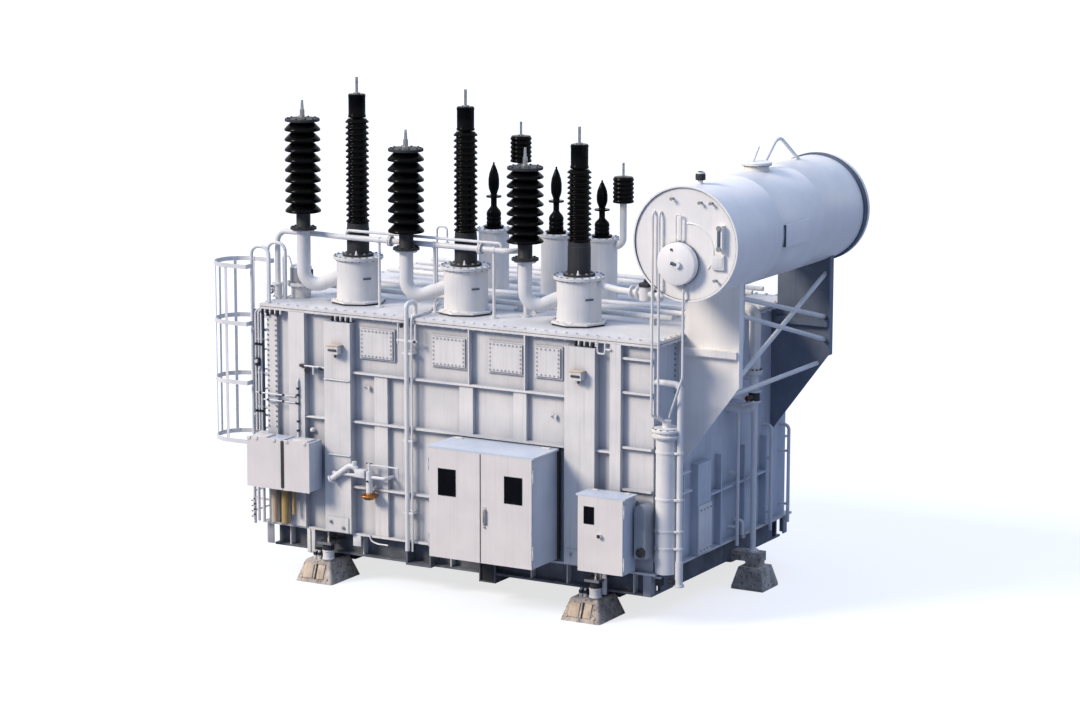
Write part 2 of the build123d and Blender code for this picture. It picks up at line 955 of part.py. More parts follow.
def cover_pipe(share):
    """One straight pipe along the cover on its saddles."""
    y = across(share)
    z = cover_top + cover_pipe_rise
    length = tank_length * cover_pipe_length_share
    pipe = Pos(0, y, z) * Rot(0, 90, 0) * Cylinder(cover_pipe_radius, length)
    half = cover_saddle_width / 2
    for x in along(cover_saddle_shares):
        pipe = pipe + block((x - half, x + half), (y - half, y + half), (cover_top, z))
    return pipe


def oil_main():
    """The thick pipe from the cover, over its edge and down beside the end wall."""
    x = tank_length * main_x_share
    y = across(main_y_share)
    high = cover_top + main_rise
    low = wall_top - main_drop
    out = right + main_out
    pipe = tube_path([(x, y, cover_top), (x, y, high), (out, y, high), (out, y, low)], main_bend, main_radius)
    foot = round_bar(main_flange_radius, x, y, (cover_top, cover_top + main_flange_t))
    return pipe + foot + round_bar(main_flange_radius, out, y, (low, low + main_flange_t))


def relief_unit():
    """The grey drum on its flange at the left of the cover."""
    low = cover_top + relief_low_height
    flange = low + relief_flange_t
    top = flange + relief_drum_height
    points = [(0, cover_top), (relief_low_radius, cover_top), (relief_low_radius, low),
              (relief_flange_radius, low), (relief_flange_radius, flange),
              (relief_drum_radius, flange), (relief_drum_radius, top),
              (relief_drum_radius - relief_dome, top + relief_dome), (0, top + relief_dome)]
    return Pos(relief_x, relief_y, 0) * turned(points)


# Conservator
def along_drum(outline, y):
    """A solid of revolution about the conservator's own axis, from an outline of radius and depth."""
    face = make_face(Polyline(*[(r, 0, d) for r, d in outline], close=True))
    solid = revolve(face, Axis.Z)
    return Pos(oil_drum_x, y, oil_drum_z) * Rot(-90, 0, 0) * solid


def conservator_shell():
    """The rolled shell, open at both ends."""
    inner = oil_drum_radius - oil_drum_wall
    outline = [(inner, 0), (oil_drum_radius, 0), (oil_drum_radius, oil_drum_length), (inner, oil_drum_length)]
    return along_drum(outline, oil_drum_front)


def conservator_end():
    """An end plate with a rim ring and a shallow dished middle."""
    r = oil_drum_radius - oil_drum_wall
    outline = [(0, -oil_dish), (r / 2, -oil_dish), (r, -oil_rim_t), (oil_rim_radius, -oil_rim_t),
               (oil_rim_radius, 0), (0, 0)]
    return outline


def manway():
    """The round access cover on the front end, with a bow handle."""
    x = oil_drum_x + manway_x
    z = oil_drum_z + manway_z
    y = oil_drum_front - oil_dish
    turn = Rot(90, 0, 0)
    low = (Align.CENTER, Align.CENTER, Align.MIN)
    neck = Pos(x, y, z) * turn * Cylinder(manway_neck_radius, manway_neck, align=low)
    lid = Pos(x, y - manway_neck, z) * turn * Cylinder(manway_lid_radius, manway_lid_t, align=low)
    face = y - manway_neck - manway_lid_t
    half = manway_handle_span / 2
    points = [(x - half, face, z), (x - half, face - manway_handle_out, z),
              (x + half, face - manway_handle_out, z), (x + half, face, z)]
    return neck + lid + tube_path(points, manway_handle_radius * 2, manway_handle_radius)


def drum_top_fittings():
    """The breather cap and the round hatch on top of the conservator."""
    top = oil_drum_z + oil_drum_radius
    x = oil_drum_x
    cap_y = oil_drum_front + oil_cap_set
    hatch_y = oil_drum_front + hatch_share * oil_drum_length
    neck = round_bar(oil_cap_neck_radius, x, cap_y, (top - oil_cap_neck, top + oil_cap_neck))
    cap = round_bar(oil_cap_radius, x, cap_y, (top + oil_cap_neck, top + oil_cap_neck + oil_cap_height))
    hatch = round_bar(hatch_radius, x, hatch_y, (top - hatch_height, top + hatch_height))
    lid = round_bar(hatch_flange_radius, x, hatch_y,
                    (top + hatch_height, top + hatch_height + hatch_flange_t))
    points = [(x, hatch_y + bow_start, top - bow_sink), (x, hatch_y + bow_middle, top + bow_rise),
              (x, hatch_y + bow_end, top - bow_sink)]
    bow = tube_path(points, bow_bend, bow_radius)
    return [neck + cap - drum_clear(), hatch + lid + bow - drum_clear()]


def seated_on_end(solid):
    """A fitting trimmed to the conservator's dished front end."""
    return solid - along_drum(conservator_end(), oil_drum_front - seat_gap)


def on_drum_axis(low_high, middle_value):
    """Two bounds moved from the conservator's axis to the tank's frame."""
    return tuple(middle_value + value for value in low_high)


def end_fittings():
    """The level gauge, its bracket and the davit of the manway cover."""
    back = oil_drum_front - oil_rim_t / 2
    face = oil_drum_front
    gauge = block(on_drum_axis(gauge_x, oil_drum_x), (face - gauge_out, back),
                  on_drum_axis(gauge_z, oil_drum_z))
    lower = block(on_drum_axis(bracket_x, oil_drum_x), (face - bracket_out, back),
                  on_drum_axis(bracket_z, oil_drum_z))
    x0, x1 = on_drum_axis(davit_x, oil_drum_x)
    z0, z1 = on_drum_axis(davit_z, oil_drum_z)
    y = face - davit_out
    davit = tube_path([(x0, back, z0), (x0, y, z0), (x0, y, z1), (x1, y, z1), (x1, y, z0), (x1, back, z0)],
                      davit_bend, davit_radius)
    return [seated_on_end(gauge), seated_on_end(lower), seated_on_end(davit)]


def filter_pipes():
    """The three thin pipes from the conservator's end to the filter's neck."""
    y = oil_drum_front - oil_pipe_out
    back = oil_drum_front - oil_rim_t / 2
    neck_z = filter_top + filter_ring_height + filter_neck / 2
    end = (filter_x, filter_y, neck_z)
    low = filter_top + oil_pipe_low
    high = oil_drum_z + oil_pipe_rise
    x = oil_drum_x
    top = oil_drum_z - slant_drop
    pipes = tube_path([(x, back, top), (x, y, top), (x, y, oil_drum_z - slant_low_drop), end],
                      oil_pipe_bend, oil_pipe_radius)
    for side in oil_pipe_sides:
        x = oil_drum_x + side
        pipes = pipes + tube_path([(x, back, high), (x, y, high), (x, y, low), end],
                                  oil_pipe_bend, oil_pipe_radius)
    neck = round_bar(filter_neck_radius + seat_gap, filter_x, filter_y, (filter_top, low))
    return seated_on_end(pipes) - neck


def drum_clear():
    """The conservator's outer form, used to trim what sits on it."""
    r = oil_drum_radius + seat_gap
    return along_drum([(0, 0), (r, 0), (r, oil_drum_length), (0, oil_drum_length)], oil_drum_front)


def support_plate(y):
    """A saddle plate from the end wall to under the conservator, with an outer edge strip."""
    outer = right + plate_reach
    inner = right + rim_overhang + seat_gap
    rim = wall_top - rim_t - seat_gap
    outline = Polyline((right, plate_low), (outer, plate_outer_low), (outer, plate_top),
                       (inner, plate_top), (inner, rim), (right, rim), close=True)
    plate = Pos(0, y + plate_t, 0) * extrude(Plane.XZ * make_face(outline), amount=plate_t)
    half = plate_edge_depth / 2
    mid = y + plate_t / 2
    edge = block((outer, outer + plate_t), (mid - half, mid + half), (plate_outer_low, plate_top))
    beam_z = wall_top - plate_beam_drop
    beam = block((inner, outer), (y - plate_beam_depth, y), (beam_z - plate_beam_height, beam_z))
    return plate + edge + beam - drum_clear()


def support_braces():
    """The three slanting braces between the saddle plates, and the level tie below them."""
    outer = right + plate_reach
    x = outer - brace_inset
    y0 = plate_ys[0] + plate_t + seat_gap
    y1 = plate_ys[1] - seat_gap
    height = plate_top - plate_outer_low
    ends = [(plate_outer_low + a * height, plate_outer_low + b * height) for a, b in brace_shares]
    rods = [tube_path([(x, plate_ys[0], a), (x, y1 + plate_t, b)], 0, brace_radius) for a, b in ends]
    z = plate_outer_low - tie_drop
    tie = tube_path([(outer - tie_inset, y0, z), (outer - tie_inset, y1, z)], 0, brace_radius)
    room = block((right, x + plate_reach), (y0, y1), (plate_low, plate_top))
    return [(rods[0] + rods[1] + rods[2]) & room, tie]


def drain_pipe():
    """The conservator's drain, down the end wall to the end foot's arm."""
    x0 = oil_drum_x - drain_offset
    x1 = right + rim_overhang + drain_wall_x
    y0 = across(drain_y_share)
    y1 = end_foot_y
    high = wall_top - drain_drop
    low = wall_top - drain_low_drop
    points = [(x0, y0, oil_drum_z), (x0, y0, high), (x1, y0, low), (x1, y1, low - drain_offset),
              (x1, y1, end_arm_top)]
    pipe = tube_path(points, drain_bend, drain_radius) - drum_clear()
    return pipe + round_bar(drain_foot_radius, x1, y1, (end_arm_top, end_arm_top + drain_foot_t))


# Cabinets
def hinge_heights(bottom, height):
    """The middles of the two hinges on a door."""
    inset = height * hinge_inset_share
    return (bottom + inset, bottom + height - inset)


def knuckle(x, y, mid, share):
    """One barrel of a hinge, placed by its share of the hinge's length from the middle."""
    z = mid + share * knuckle_length
    half = knuckle_length / 2 - knuckle_gap / 2
    return round_bar(knuckle_radius, x, y, (z - half, z + half))


def cabinet_body(x, depth, back_gap, bottom, height, hinge_sides):
    """An open-fronted sheet cabinet with a roof, wall brackets and fixed hinge barrels."""
    y1 = front - back_gap
    y0 = y1 - depth
    z = (bottom, bottom + height)
    t = cabinet_t
    body = block(x, (y0, y1), z)
    body = body - block((x[0] + t, x[1] - t), (y0 - cut_over, y1 - t), (z[0] + t, z[1] - t))
    over = cabinet_roof_over
    roof = block((x[0] - over, x[1] + over), (y0 - over, y1), (z[1], z[1] + cabinet_roof_t))
    body = body + roof
    for bx in (x[0] + bracket_width, x[1] - bracket_width):
        for bz in (z[0] + bracket_width, z[1] - bracket_width):
            body = body + block((bx - bracket_width / 2, bx + bracket_width / 2), (y1, front),
                                (bz - bracket_t / 2, bz + bracket_t / 2))
    axis_y = door_axis_y(y0)
    for side in hinge_sides:
        edge = x[0] if side < 0 else x[1]
        axis_x = edge + side * knuckle_out
        for mid in hinge_heights(bottom, height):
            for share in (-1, 1):
                barrel = knuckle(axis_x, axis_y, mid, share)
                half = knuckle_length / 2 - knuckle_gap / 2
                zz = (mid + share * knuckle_length - half, mid + share * knuckle_length + half)
                near = edge + side * leaf_clear
                leaf = block(sorted((near, axis_x)), (axis_y, axis_y + leaf_t), zz)
                arm = block(sorted((near, near + side * leaf_t)), (axis_y, y0 + knuckle_length), zz)
                wing = block(sorted((edge, near)), (y0, y0 + knuckle_length), zz)
                body = body + barrel + leaf + arm + wing
    return body


def door_axis_y(face):
    """The depth of a door's hinge axis, in the middle of the door's thickness."""
    return face - door_gap - cabinet_door_t / 2


def cabinet_door(x, face, bottom, height, side, window):
    """A door slab with its window cut and its moving hinge barrels."""
    y = (face - door_gap - cabinet_door_t, face - door_gap)
    slab = block(x, y, (bottom, bottom + height))
    slab = slab - block(window[0], (y[0] - cut_over, y[1] + cut_over), window[1])
    edge = x[0] if side < 0 else x[1]
    axis_x = edge + side * knuckle_out
    axis_y = door_axis_y(face)
    for mid in hinge_heights(bottom, height):
        half = knuckle_length / 2 - knuckle_gap / 2
        leaf = block(sorted((edge, axis_x)), (axis_y - leaf_t / 2, axis_y + leaf_t / 2),
                     (mid - half, mid + half))
        slab = slab + knuckle(axis_x, axis_y, mid, 0) + leaf
    return slab


def glass_pane(face, window):
    """A pane set flush in the middle of a door's window cut."""
    mid = door_axis_y(face)
    x, z = window
    return block((x[0], x[1]), (mid - glass_t / 2, mid + glass_t / 2), (z[0], z[1]))


# Ladder
def ladder_side_rail(side):
    """A stringer that hooks over on to the cover, with its wall brackets."""
    y = ladder_y + side * ladder_half_width
    hook_x = left + ladder_hook_in
    points = [(ladder_x, y, ladder_bottom), (ladder_x, y, ladder_top), (hook_x, y, ladder_top),
              (hook_x, y, cover_top)]
    rail = tube_path(points, ladder_hook_bend, stringer_radius)
    half = ladder_bracket_size / 2
    for z in [up_wall(share) for share in ladder_bracket_shares]:
        rail = rail + block((ladder_x, left), (y - half, y + half), (z - half, z + half))
    return rail


def ladder_rungs():
    """The rungs, each trimmed to seat against the two stringers."""
    count = int((cover_top - ladder_bottom - rung_first) / rung_pitch) + 1
    sides = [round_bar(stringer_radius + seat_gap, ladder_x, ladder_y + side * ladder_half_width,
                       (ladder_bottom, ladder_top)) for side in (-1, 1)]
    rungs = []
    for i in range(count):
        z = ladder_bottom + rung_first + i * rung_pitch
        rung = Pos(ladder_x, ladder_y, z) * Rot(90, 0, 0) * Cylinder(rung_radius, 2 * ladder_half_width)
        rungs.append(rung - sides[0] - sides[1])
    return rungs


def hoop(z):
    """One flat hoop of the cage, open towards the ladder, with ears that meet the stringers."""
    leg = cage_reach - cage_radius
    outer = Circle(cage_radius) + Pos(leg / 2, 0) * Rectangle(leg, 2 * cage_radius)
    inner_r = cage_radius - hoop_t
    inner = Circle(inner_r) + Pos((leg + cut_over) / 2, 0) * Rectangle(leg + cut_over, 2 * inner_r)
    beyond = Pos(leg + cage_radius, 0) * Rectangle(2 * cage_radius, 2 * cage_radius)
    ring = outer - inner - beyond
    ear = ladder_half_width + stringer_radius + seat_gap
    for side in (-1, 1):
        wide = cage_radius - ear
        ring = ring + Pos(leg, side * (ear + wide / 2)) * Rectangle(hoop_t, wide)
    place = Pos(ladder_x - leg, ladder_y, z - hoop_height / 2)
    return place * extrude(ring, amount=hoop_height)


def cage_straps():
    """The upright straps, seated against the inside of the hoops."""
    x = ladder_x - cage_reach + cage_radius
    z = (hoop_zs[0] - hoop_height / 2, hoop_zs[-1] + hoop_height / 2)
    inner = cage_radius - hoop_t
    reach = (inner ** 2 - (strap_width / 2) ** 2) ** 0.5 - seat_gap
    strap = block((-reach, strap_t - reach), (-strap_width / 2, strap_width / 2), z)
    return [Pos(x, ladder_y, 0) * Rot(0, 0, angle - 90) * strap for angle in strap_angles]


# Small front pieces
def front_riser():
    """The upright pipe on the front wall, over the rim on to the cover, and the conduit beside it."""
    y = front - rib_depth - riser_radius
    low = floor_top - riser_bottom_drop
    high = cover_top + riser_top_rise
    back = y + riser_back
    points = [(riser_x, y, low), (riser_x, y, high), (riser_x, back, high), (riser_x, back, cover_top)]
    pipe = tube_path(points, riser_bend, riser_radius)
    pipe = pipe + round_bar(riser_foot_radius, riser_x, back, (cover_top, cover_top + riser_foot_t))
    half = riser_clamp_width / 2
    conduit = round_bar(conduit_radius, riser_x + conduit_side, y, (low, wall_top - conduit_end_drop))
    far = riser_x + conduit_side + conduit_radius
    for z in [up_wall(share) for share in riser_clamp_shares]:
        pipe = pipe + block((riser_x - half, far), (y - riser_clamp_t / 2, front), (z, z + riser_clamp_t))
    return pipe + conduit


def wall_pipe(share, top_share):
    """A thin pipe down the right end wall on its clamps, turned into the wall at its top."""
    x = right + wall_pipe_out
    y = across(share)
    high = up_wall(top_share)
    pipe = tube_path([(x, y, floor_top - wall_pipe_bottom_drop), (x, y, high), (right, y, high)],
                     wall_pipe_bend, wall_pipe_radius)
    half = ladder_bracket_size / 2
    for z in [up_wall(clamp) for clamp in wall_clamp_shares]:
        pipe = pipe + block((right, x), (y - half, y + half), (z, z + ladder_bracket_size))
    return pipe


def drive_motor():
    """The housing with a round top beside the drive cabinet, with its disc."""
    x0, x1 = along(motor_x_shares)
    half = (x1 - x0) / 2
    low = floor_top + motor_rise
    high = low + motor_height - half
    y0 = front - motor_depth
    body = block((x0, x1), (y0, front), (low, high))
    turn = Rot(90, 0, 0)
    flat = (Align.CENTER, Align.CENTER, Align.MIN)
    arch = Pos(x0 + half, front, high) * turn * Cylinder(half, motor_depth, align=flat)
    place = Pos(x0 + half, y0, low + motor_disc_rise) * turn
    disc = place * Cylinder(motor_disc_radius, motor_disc_out, align=flat)
    return body + arch + disc


def drain_valve():
    """The valve and its pipe between the front wall and the left column."""
    x0, x1 = along(valve_x_shares)
    y = front - valve_out
    z = floor_top + valve_rise
    pipe = tube_path([(x1, front, z), (x1, y, z), (x0, y, z), (x0, front - column_depth, z)],
                     valve_bend, valve_pipe_radius)
    body_x = x0 + valve_body_share * (x1 - x0)
    body = round_bar(valve_body_radius, body_x, y, (z - valve_body_drop, z + valve_body_rise))
    stub_x = x0 + valve_stub_share * (x1 - x0)
    return pipe + body + round_bar(valve_stub_radius, stub_x, y, (z, z + valve_stub_rise))


def filter_column():
    """The round filter vessel at the front right corner."""
    outline = [(0, filter_bottom), (filter_radius, filter_bottom),
               (filter_radius, filter_top), (filter_ring_radius, filter_top),
               (filter_ring_radius, filter_top + filter_ring_height),
               (filter_neck_radius, filter_top + filter_ring_height),
               (filter_neck_radius, filter_top + filter_ring_height + filter_neck),
               (0, filter_top + filter_ring_height + filter_neck)]
    body = Pos(filter_x, filter_y, 0) * turned(outline)
    arm = block((right, filter_x), (filter_y - bracket_t / 2, filter_y + bracket_t / 2),
                (filter_top - bracket_width, filter_top))
    low = block((right, filter_x), (filter_y - bracket_t / 2, filter_y + bracket_t / 2),
                (filter_bottom + bracket_width, filter_bottom + 2 * bracket_width))
    return body + arm + low


def terminal_box(x):
    """A closed terminal box on the front wall, behind its lid."""
    return block(x, (front - box_depth, front - pillar_depth), (box_bottom, box_bottom + box_height))


def terminal_lid(x):
    """The bolted lid of a terminal box."""
    y = front - box_depth
    over = box_lid_over
    return block((x[0] - over, x[1] + over), (y - box_lid_t, y),
                 (box_bottom - over, box_bottom + box_height + over))


nodes = {}
nodes["skid_beams"] = [skid_beam() + skid_bracket()] + mirrored([skid_beam() + skid_bracket()]) + skid_ends()
nodes["cross_beams"] = [cross_beam(x) for x in foot_xs]
pads = [foot_pad(x) for x in foot_xs]
nodes["foot_pads"] = pads + mirrored(pads)
jacks = [foot_jack(x) for x in foot_xs]
nodes["foot_jacks"] = jacks + mirrored(jacks)
nodes["tank_floor"] = [tank_floor()]
nodes["front_wall"] = [long_wall(front_ribs())]
nodes["rear_wall"] = mirrored(nodes["front_wall"])
nodes["right_wall"] = [end_wall()]
nodes["left_wall"] = [end_wall().mirror(Plane.YZ)]
nodes["front_columns"] = front_columns()
nodes["rear_columns"] = mirrored(front_columns())
nodes["tank_cover"] = [tank_cover()]
nodes["front_hand_holes"] = hand_holes()
nodes["rear_hand_holes"] = mirrored(hand_holes())
nodes["hv_turrets"] = [turret(x, hv_y, hv_turret_radius, hv_turret_top, hv_flange_radius, hv_flange_t)
                       for x in hv_xs]
nodes["hv_bushings"] = [slim_bushing(x, top, count)
                        for x, top, count in zip(hv_xs, hv_shed_tops, hv_shed_counts)]
nodes["line_bushings"] = [line_bushing(*row) for row in zip(line_xs, line_seats, line_heights, line_counts)]
nodes["crank_pipes"] = [crank_pipe(*row) for row in zip(line_xs, line_seats, hv_xs)]
nodes["lv_turrets"] = [turret(x, lv_y, lv_turret_radius, lv_turret_top, lv_flange_radius, lv_flange_t)
                       for x in lv_xs]
nodes["lv_bushings"] = [candle_bushing(x, height) for x, height in zip(lv_xs, lv_heights)]
nodes["neutral_bushings"] = [ringed_bushing(neutral_a_x, neutral_a_y, neutral_a_seat),
                             ringed_bushing(neutral_b_x, lv_y, neutral_b_seat)]
nodes["neutral_pipes"] = neutral_pipes()
nodes["collecting_pipe"] = [collecting_pipe()]
nodes["relief_unit"] = [relief_unit()]
nodes["conservator_shell"] = [conservator_shell()]
nodes["conservator_front_end"] = [along_drum(conservator_end(), oil_drum_front)]
rear_outline = [(r, -d) for r, d in conservator_end()]
nodes["conservator_rear_end"] = [along_drum(rear_outline, oil_drum_front + oil_drum_length)]
nodes["manway_cover"] = [manway()]
nodes["conservator_top_fittings"] = drum_top_fittings()
nodes["front_saddle_plate"] = [support_plate(plate_ys[0])]
nodes["rear_saddle_plate"] = [support_plate(plate_ys[1])]
nodes["saddle_braces"] = support_braces()
nodes["drain_pipe"] = [drain_pipe()]
nodes["end_foot"] = [end_foot()]
control_face = front - control_back_gap - control_depth
control_mid = (control_x[0] + control_x[1]) / 2
nodes["control_cabinet"] = [cabinet_body(control_x, control_depth, control_back_gap, control_bottom,
                                         control_height, (-1, 1))]
window_z = (control_bottom + control_height - window_drop - window_height,
            control_bottom + control_height - window_drop)
left_window = ((control_x[0] + window_in, control_x[0] + window_in + window_width), window_z)
right_window = ((control_x[1] - window_in - window_width, control_x[1] - window_in), window_z)
left_door_x = (control_x[0], control_mid - door_gap / 2)
right_door_x = (control_mid + door_gap / 2, control_x[1])
nodes["control_left_door"] = [cabinet_door(left_door_x, control_face, control_bottom, control_height,
                                           -1, left_window)]
handle_y = control_face - door_gap - cabinet_door_t
handle = block((right_door_x[0] + handle_in, right_door_x[0] + handle_in + handle_width),
               (handle_y - handle_out, handle_y),
               (control_bottom + control_height / 2 - handle_height,
                control_bottom + control_height / 2))
nodes["control_right_door"] = [cabinet_door(right_door_x, control_face, control_bottom, control_height,
                                            1, right_window) + handle]
nodes["control_left_glass"] = [glass_pane(control_face, left_window)]
nodes["control_right_glass"] = [glass_pane(control_face, right_window)]
drive_face = front - drive_back_gap - drive_depth
nodes["drive_cabinet"] = [cabinet_body(drive_x, drive_depth, drive_back_gap, drive_bottom,
                                       drive_height, (1,))]
drive_window = ((drive_x[0] + drive_window_in, drive_x[0] + drive_window_in + drive_window_width),
                (drive_bottom + drive_height - drive_window_drop - drive_window_height,
                 drive_bottom + drive_height - drive_window_drop))
knob_y = drive_face - door_gap - cabinet_door_t
knob_x = drive_x[0] + knob_in_share * (drive_x[1] - drive_x[0])
knob = Pos(knob_x, knob_y, drive_bottom + drive_height - knob_drop) * Rot(90, 0, 0) * Cylinder(
    knob_radius, knob_out, align=(Align.CENTER, Align.CENTER, Align.MIN))
nodes["drive_cabinet_door"] = [cabinet_door(drive_x, drive_face, drive_bottom, drive_height,
                                            1, drive_window) + knob]
nodes["drive_cabinet_glass"] = [glass_pane(drive_face, drive_window)]
nodes["terminal_boxes"] = [terminal_box(box_a_x), terminal_box(box_b_x)]
nodes["terminal_box_lids"] = [terminal_lid(box_a_x), terminal_lid(box_b_x)]
nodes["filter_column"] = [filter_column()]
nodes["front_riser"] = [front_riser()]
nodes["ladder"] = [ladder_side_rail(-1), ladder_side_rail(1)]
nodes["ladder_rungs"] = ladder_rungs()
nodes["ladder_cage"] = [hoop(z) for z in hoop_zs]
nodes["cage_straps"] = cage_straps()
nodes["cover_pipes"] = [cover_pipe(share) for share in cover_pipe_y_shares]
nodes["vent_pipes"] = [vent_pipe(), relay_pipe()]
nodes["oil_main"] = [oil_main()]
nodes["filter_pipes"] = [filter_pipes()]
nodes["conservator_end_fittings"] = end_fittings()
nodes["wall_pipes"] = [wall_pipe(*row) for row in zip(wall_pipe_y_shares, wall_pipe_top_shares)]
nodes["drive_motor"] = [drive_motor()]
nodes["drain_valve"] = [drain_valve()]

# The part's origin is the bottom centre of its own box
whole = Compound([solid for solids in nodes.values() for shape in solids for solid in shape.solids()])
box = whole.bounding_box()
middle = Pos(-(box.min.X + box.max.X) / 2, -(box.min.Y + box.max.Y) / 2, -box.min.Z)

os.makedirs("parts", exist_ok=True)
for name, shapes in nodes.items():
    solids = [middle * solid for shape in shapes for solid in shape.solids()]
    export_step(solids[0] if len(solids) == 1 else Compound(solids), f"parts/{name}.step")
print("shift", -(box.min.X + box.max.X) / 2, -(box.min.Y + box.max.Y) / 2, -box.min.Z)
print("size", box.size)
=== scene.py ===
"""Looks of an oil filled power transformer: finishes, fittings and small repeats round the CAD frame."""

import json
import logging
import math
from dataclasses import dataclass, field
from enum import Enum
from typing import Any, Callable, Iterable, Sequence

import bmesh
import bpy
from mathutils import Matrix, Vector

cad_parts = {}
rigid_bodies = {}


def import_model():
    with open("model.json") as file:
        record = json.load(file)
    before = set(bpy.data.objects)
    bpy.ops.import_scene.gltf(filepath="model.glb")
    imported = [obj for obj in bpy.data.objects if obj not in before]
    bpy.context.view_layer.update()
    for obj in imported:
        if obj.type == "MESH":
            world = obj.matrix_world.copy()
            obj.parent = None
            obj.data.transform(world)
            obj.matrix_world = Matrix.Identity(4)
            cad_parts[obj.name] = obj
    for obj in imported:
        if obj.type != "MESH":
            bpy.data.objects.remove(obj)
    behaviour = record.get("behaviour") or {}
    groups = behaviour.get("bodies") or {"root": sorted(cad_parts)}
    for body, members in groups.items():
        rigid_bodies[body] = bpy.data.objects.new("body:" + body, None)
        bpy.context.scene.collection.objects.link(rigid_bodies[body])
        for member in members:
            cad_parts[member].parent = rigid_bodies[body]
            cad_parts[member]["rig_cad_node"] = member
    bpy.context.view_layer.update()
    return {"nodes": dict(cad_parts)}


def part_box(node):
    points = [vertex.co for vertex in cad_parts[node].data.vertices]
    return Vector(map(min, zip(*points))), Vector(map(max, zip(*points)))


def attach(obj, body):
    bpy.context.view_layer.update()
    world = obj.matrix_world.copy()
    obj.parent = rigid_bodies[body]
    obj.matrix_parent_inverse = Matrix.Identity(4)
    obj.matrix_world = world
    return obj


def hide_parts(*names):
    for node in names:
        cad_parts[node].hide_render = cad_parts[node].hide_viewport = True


Point = Sequence[float]
Outline = Sequence[tuple[float, float]]
Fit = tuple[float, float, float, float]
Makers = tuple[Callable[[], None], ...]
LOG = logging.getLogger("transformer")

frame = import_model()
COVER_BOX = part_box("tank_cover")
# The frame's own place of the tank's middle, on the ground, in metres
TANK_MIDDLE = Vector(((COVER_BOX[0].x + COVER_BOX[1].x) / 2, (COVER_BOX[0].y + COVER_BOX[1].y) / 2, 0.0))

# Places that several sub-assemblies share, in millimetres from the tank's middle
WALL_Y = -2000.0
COLUMN_Y = -2140.0
RIM_LOW = 3715.0
COVER_TOP = 3790.0
HV_XS = (-1950.0, -225.0, 1519.8)
HV_Y = -1330.0
HV_TOP = 4440.0
LV_XS = (-739.8, 259.8, 979.8)
LV_Y = 300.0
LV_TOP = 4700.0
DRUM_X = 3490.0
DRUM_Z = 5110.0
DRUM_RADIUS = 725.0


class Slot(Enum):
    """The record's finishes."""

    WHITE = "white_paint"
    GREY = "grey_paint"
    PAD = "pad_paint"
    BEAM = "beam_paint"
    PORCELAIN = "brown_porcelain"
    STEEL = "steel"
    GLASS = "window_glass"


class Facing(Enum):
    """The way that a flat fitting or a fastener points."""

    FRONT = (0.0, -1.0, 0.0)
    REAR = (0.0, 1.0, 0.0)
    LEFT = (-1.0, 0.0, 0.0)
    RIGHT = (1.0, 0.0, 0.0)
    UP = (0.0, 0.0, 1.0)
    DOWN = (0.0, 0.0, -1.0)


# The two long walls: the sign of their y and the way that they face
SIDES = ((-1, Facing.FRONT), (1, Facing.REAR))


def way(facing: Facing | Point) -> Vector:
    """Turns a facing, or any direction, to a vector."""
    return Vector(facing.value if isinstance(facing, Facing) else facing)


# Finishes


def linear(colour: str) -> tuple[float, float, float, float]:
    """Turns an sRGB hex colour to linear.

    Args:
        colour: six hex digits.

    Returns:
        Linear red, green, blue and an alpha of one.
    """
    parts = [int(colour[i:i + 2], 16) / 255 for i in (0, 2, 4)]
    r, g, b = [c / 12.92 if c <= 0.04045 else ((c + 0.055) / 1.055) ** 2.4 for c in parts]
    return (r, g, b, 1.0)


def plug(tree: bpy.types.NodeTree, node: bpy.types.Node, sockets: dict[Any, Any]) -> None:
    """Fills a shader node's inputs.

    Args:
        tree: the node tree.
        node: the node.
        sockets: input name or index to a value, or to an output to link from.
    """
    for name, value in sockets.items():
        if isinstance(value, bpy.types.NodeSocket):
            tree.links.new(value, node.inputs[name])
        else:
            node.inputs[name].default_value = value


def put(tree: bpy.types.NodeTree, kind: str, sockets: dict[Any, Any] | None = None,
        **settings: Any) -> bpy.types.Node:
    """Adds a shader node with its settings and inputs.

    Args:
        tree: the node tree.
        kind: the node's type name without its prefix.
        sockets: its inputs, as plug takes them.
        settings: the node's own properties.

    Returns:
        The new node.
    """
    made = tree.nodes.new("ShaderNode" + kind)
    for name, value in settings.items():
        setattr(made, name, value)
    plug(tree, made, sockets or {})
    return made


def fitted(tree: bpy.types.NodeTree, value: Any, fit: Fit) -> bpy.types.NodeSocket:
    """Maps a range of a pattern to another, clamped: its low and high values, then what they become."""
    return put(tree, "MapRange", dict(enumerate((value, *fit)))).outputs[0]


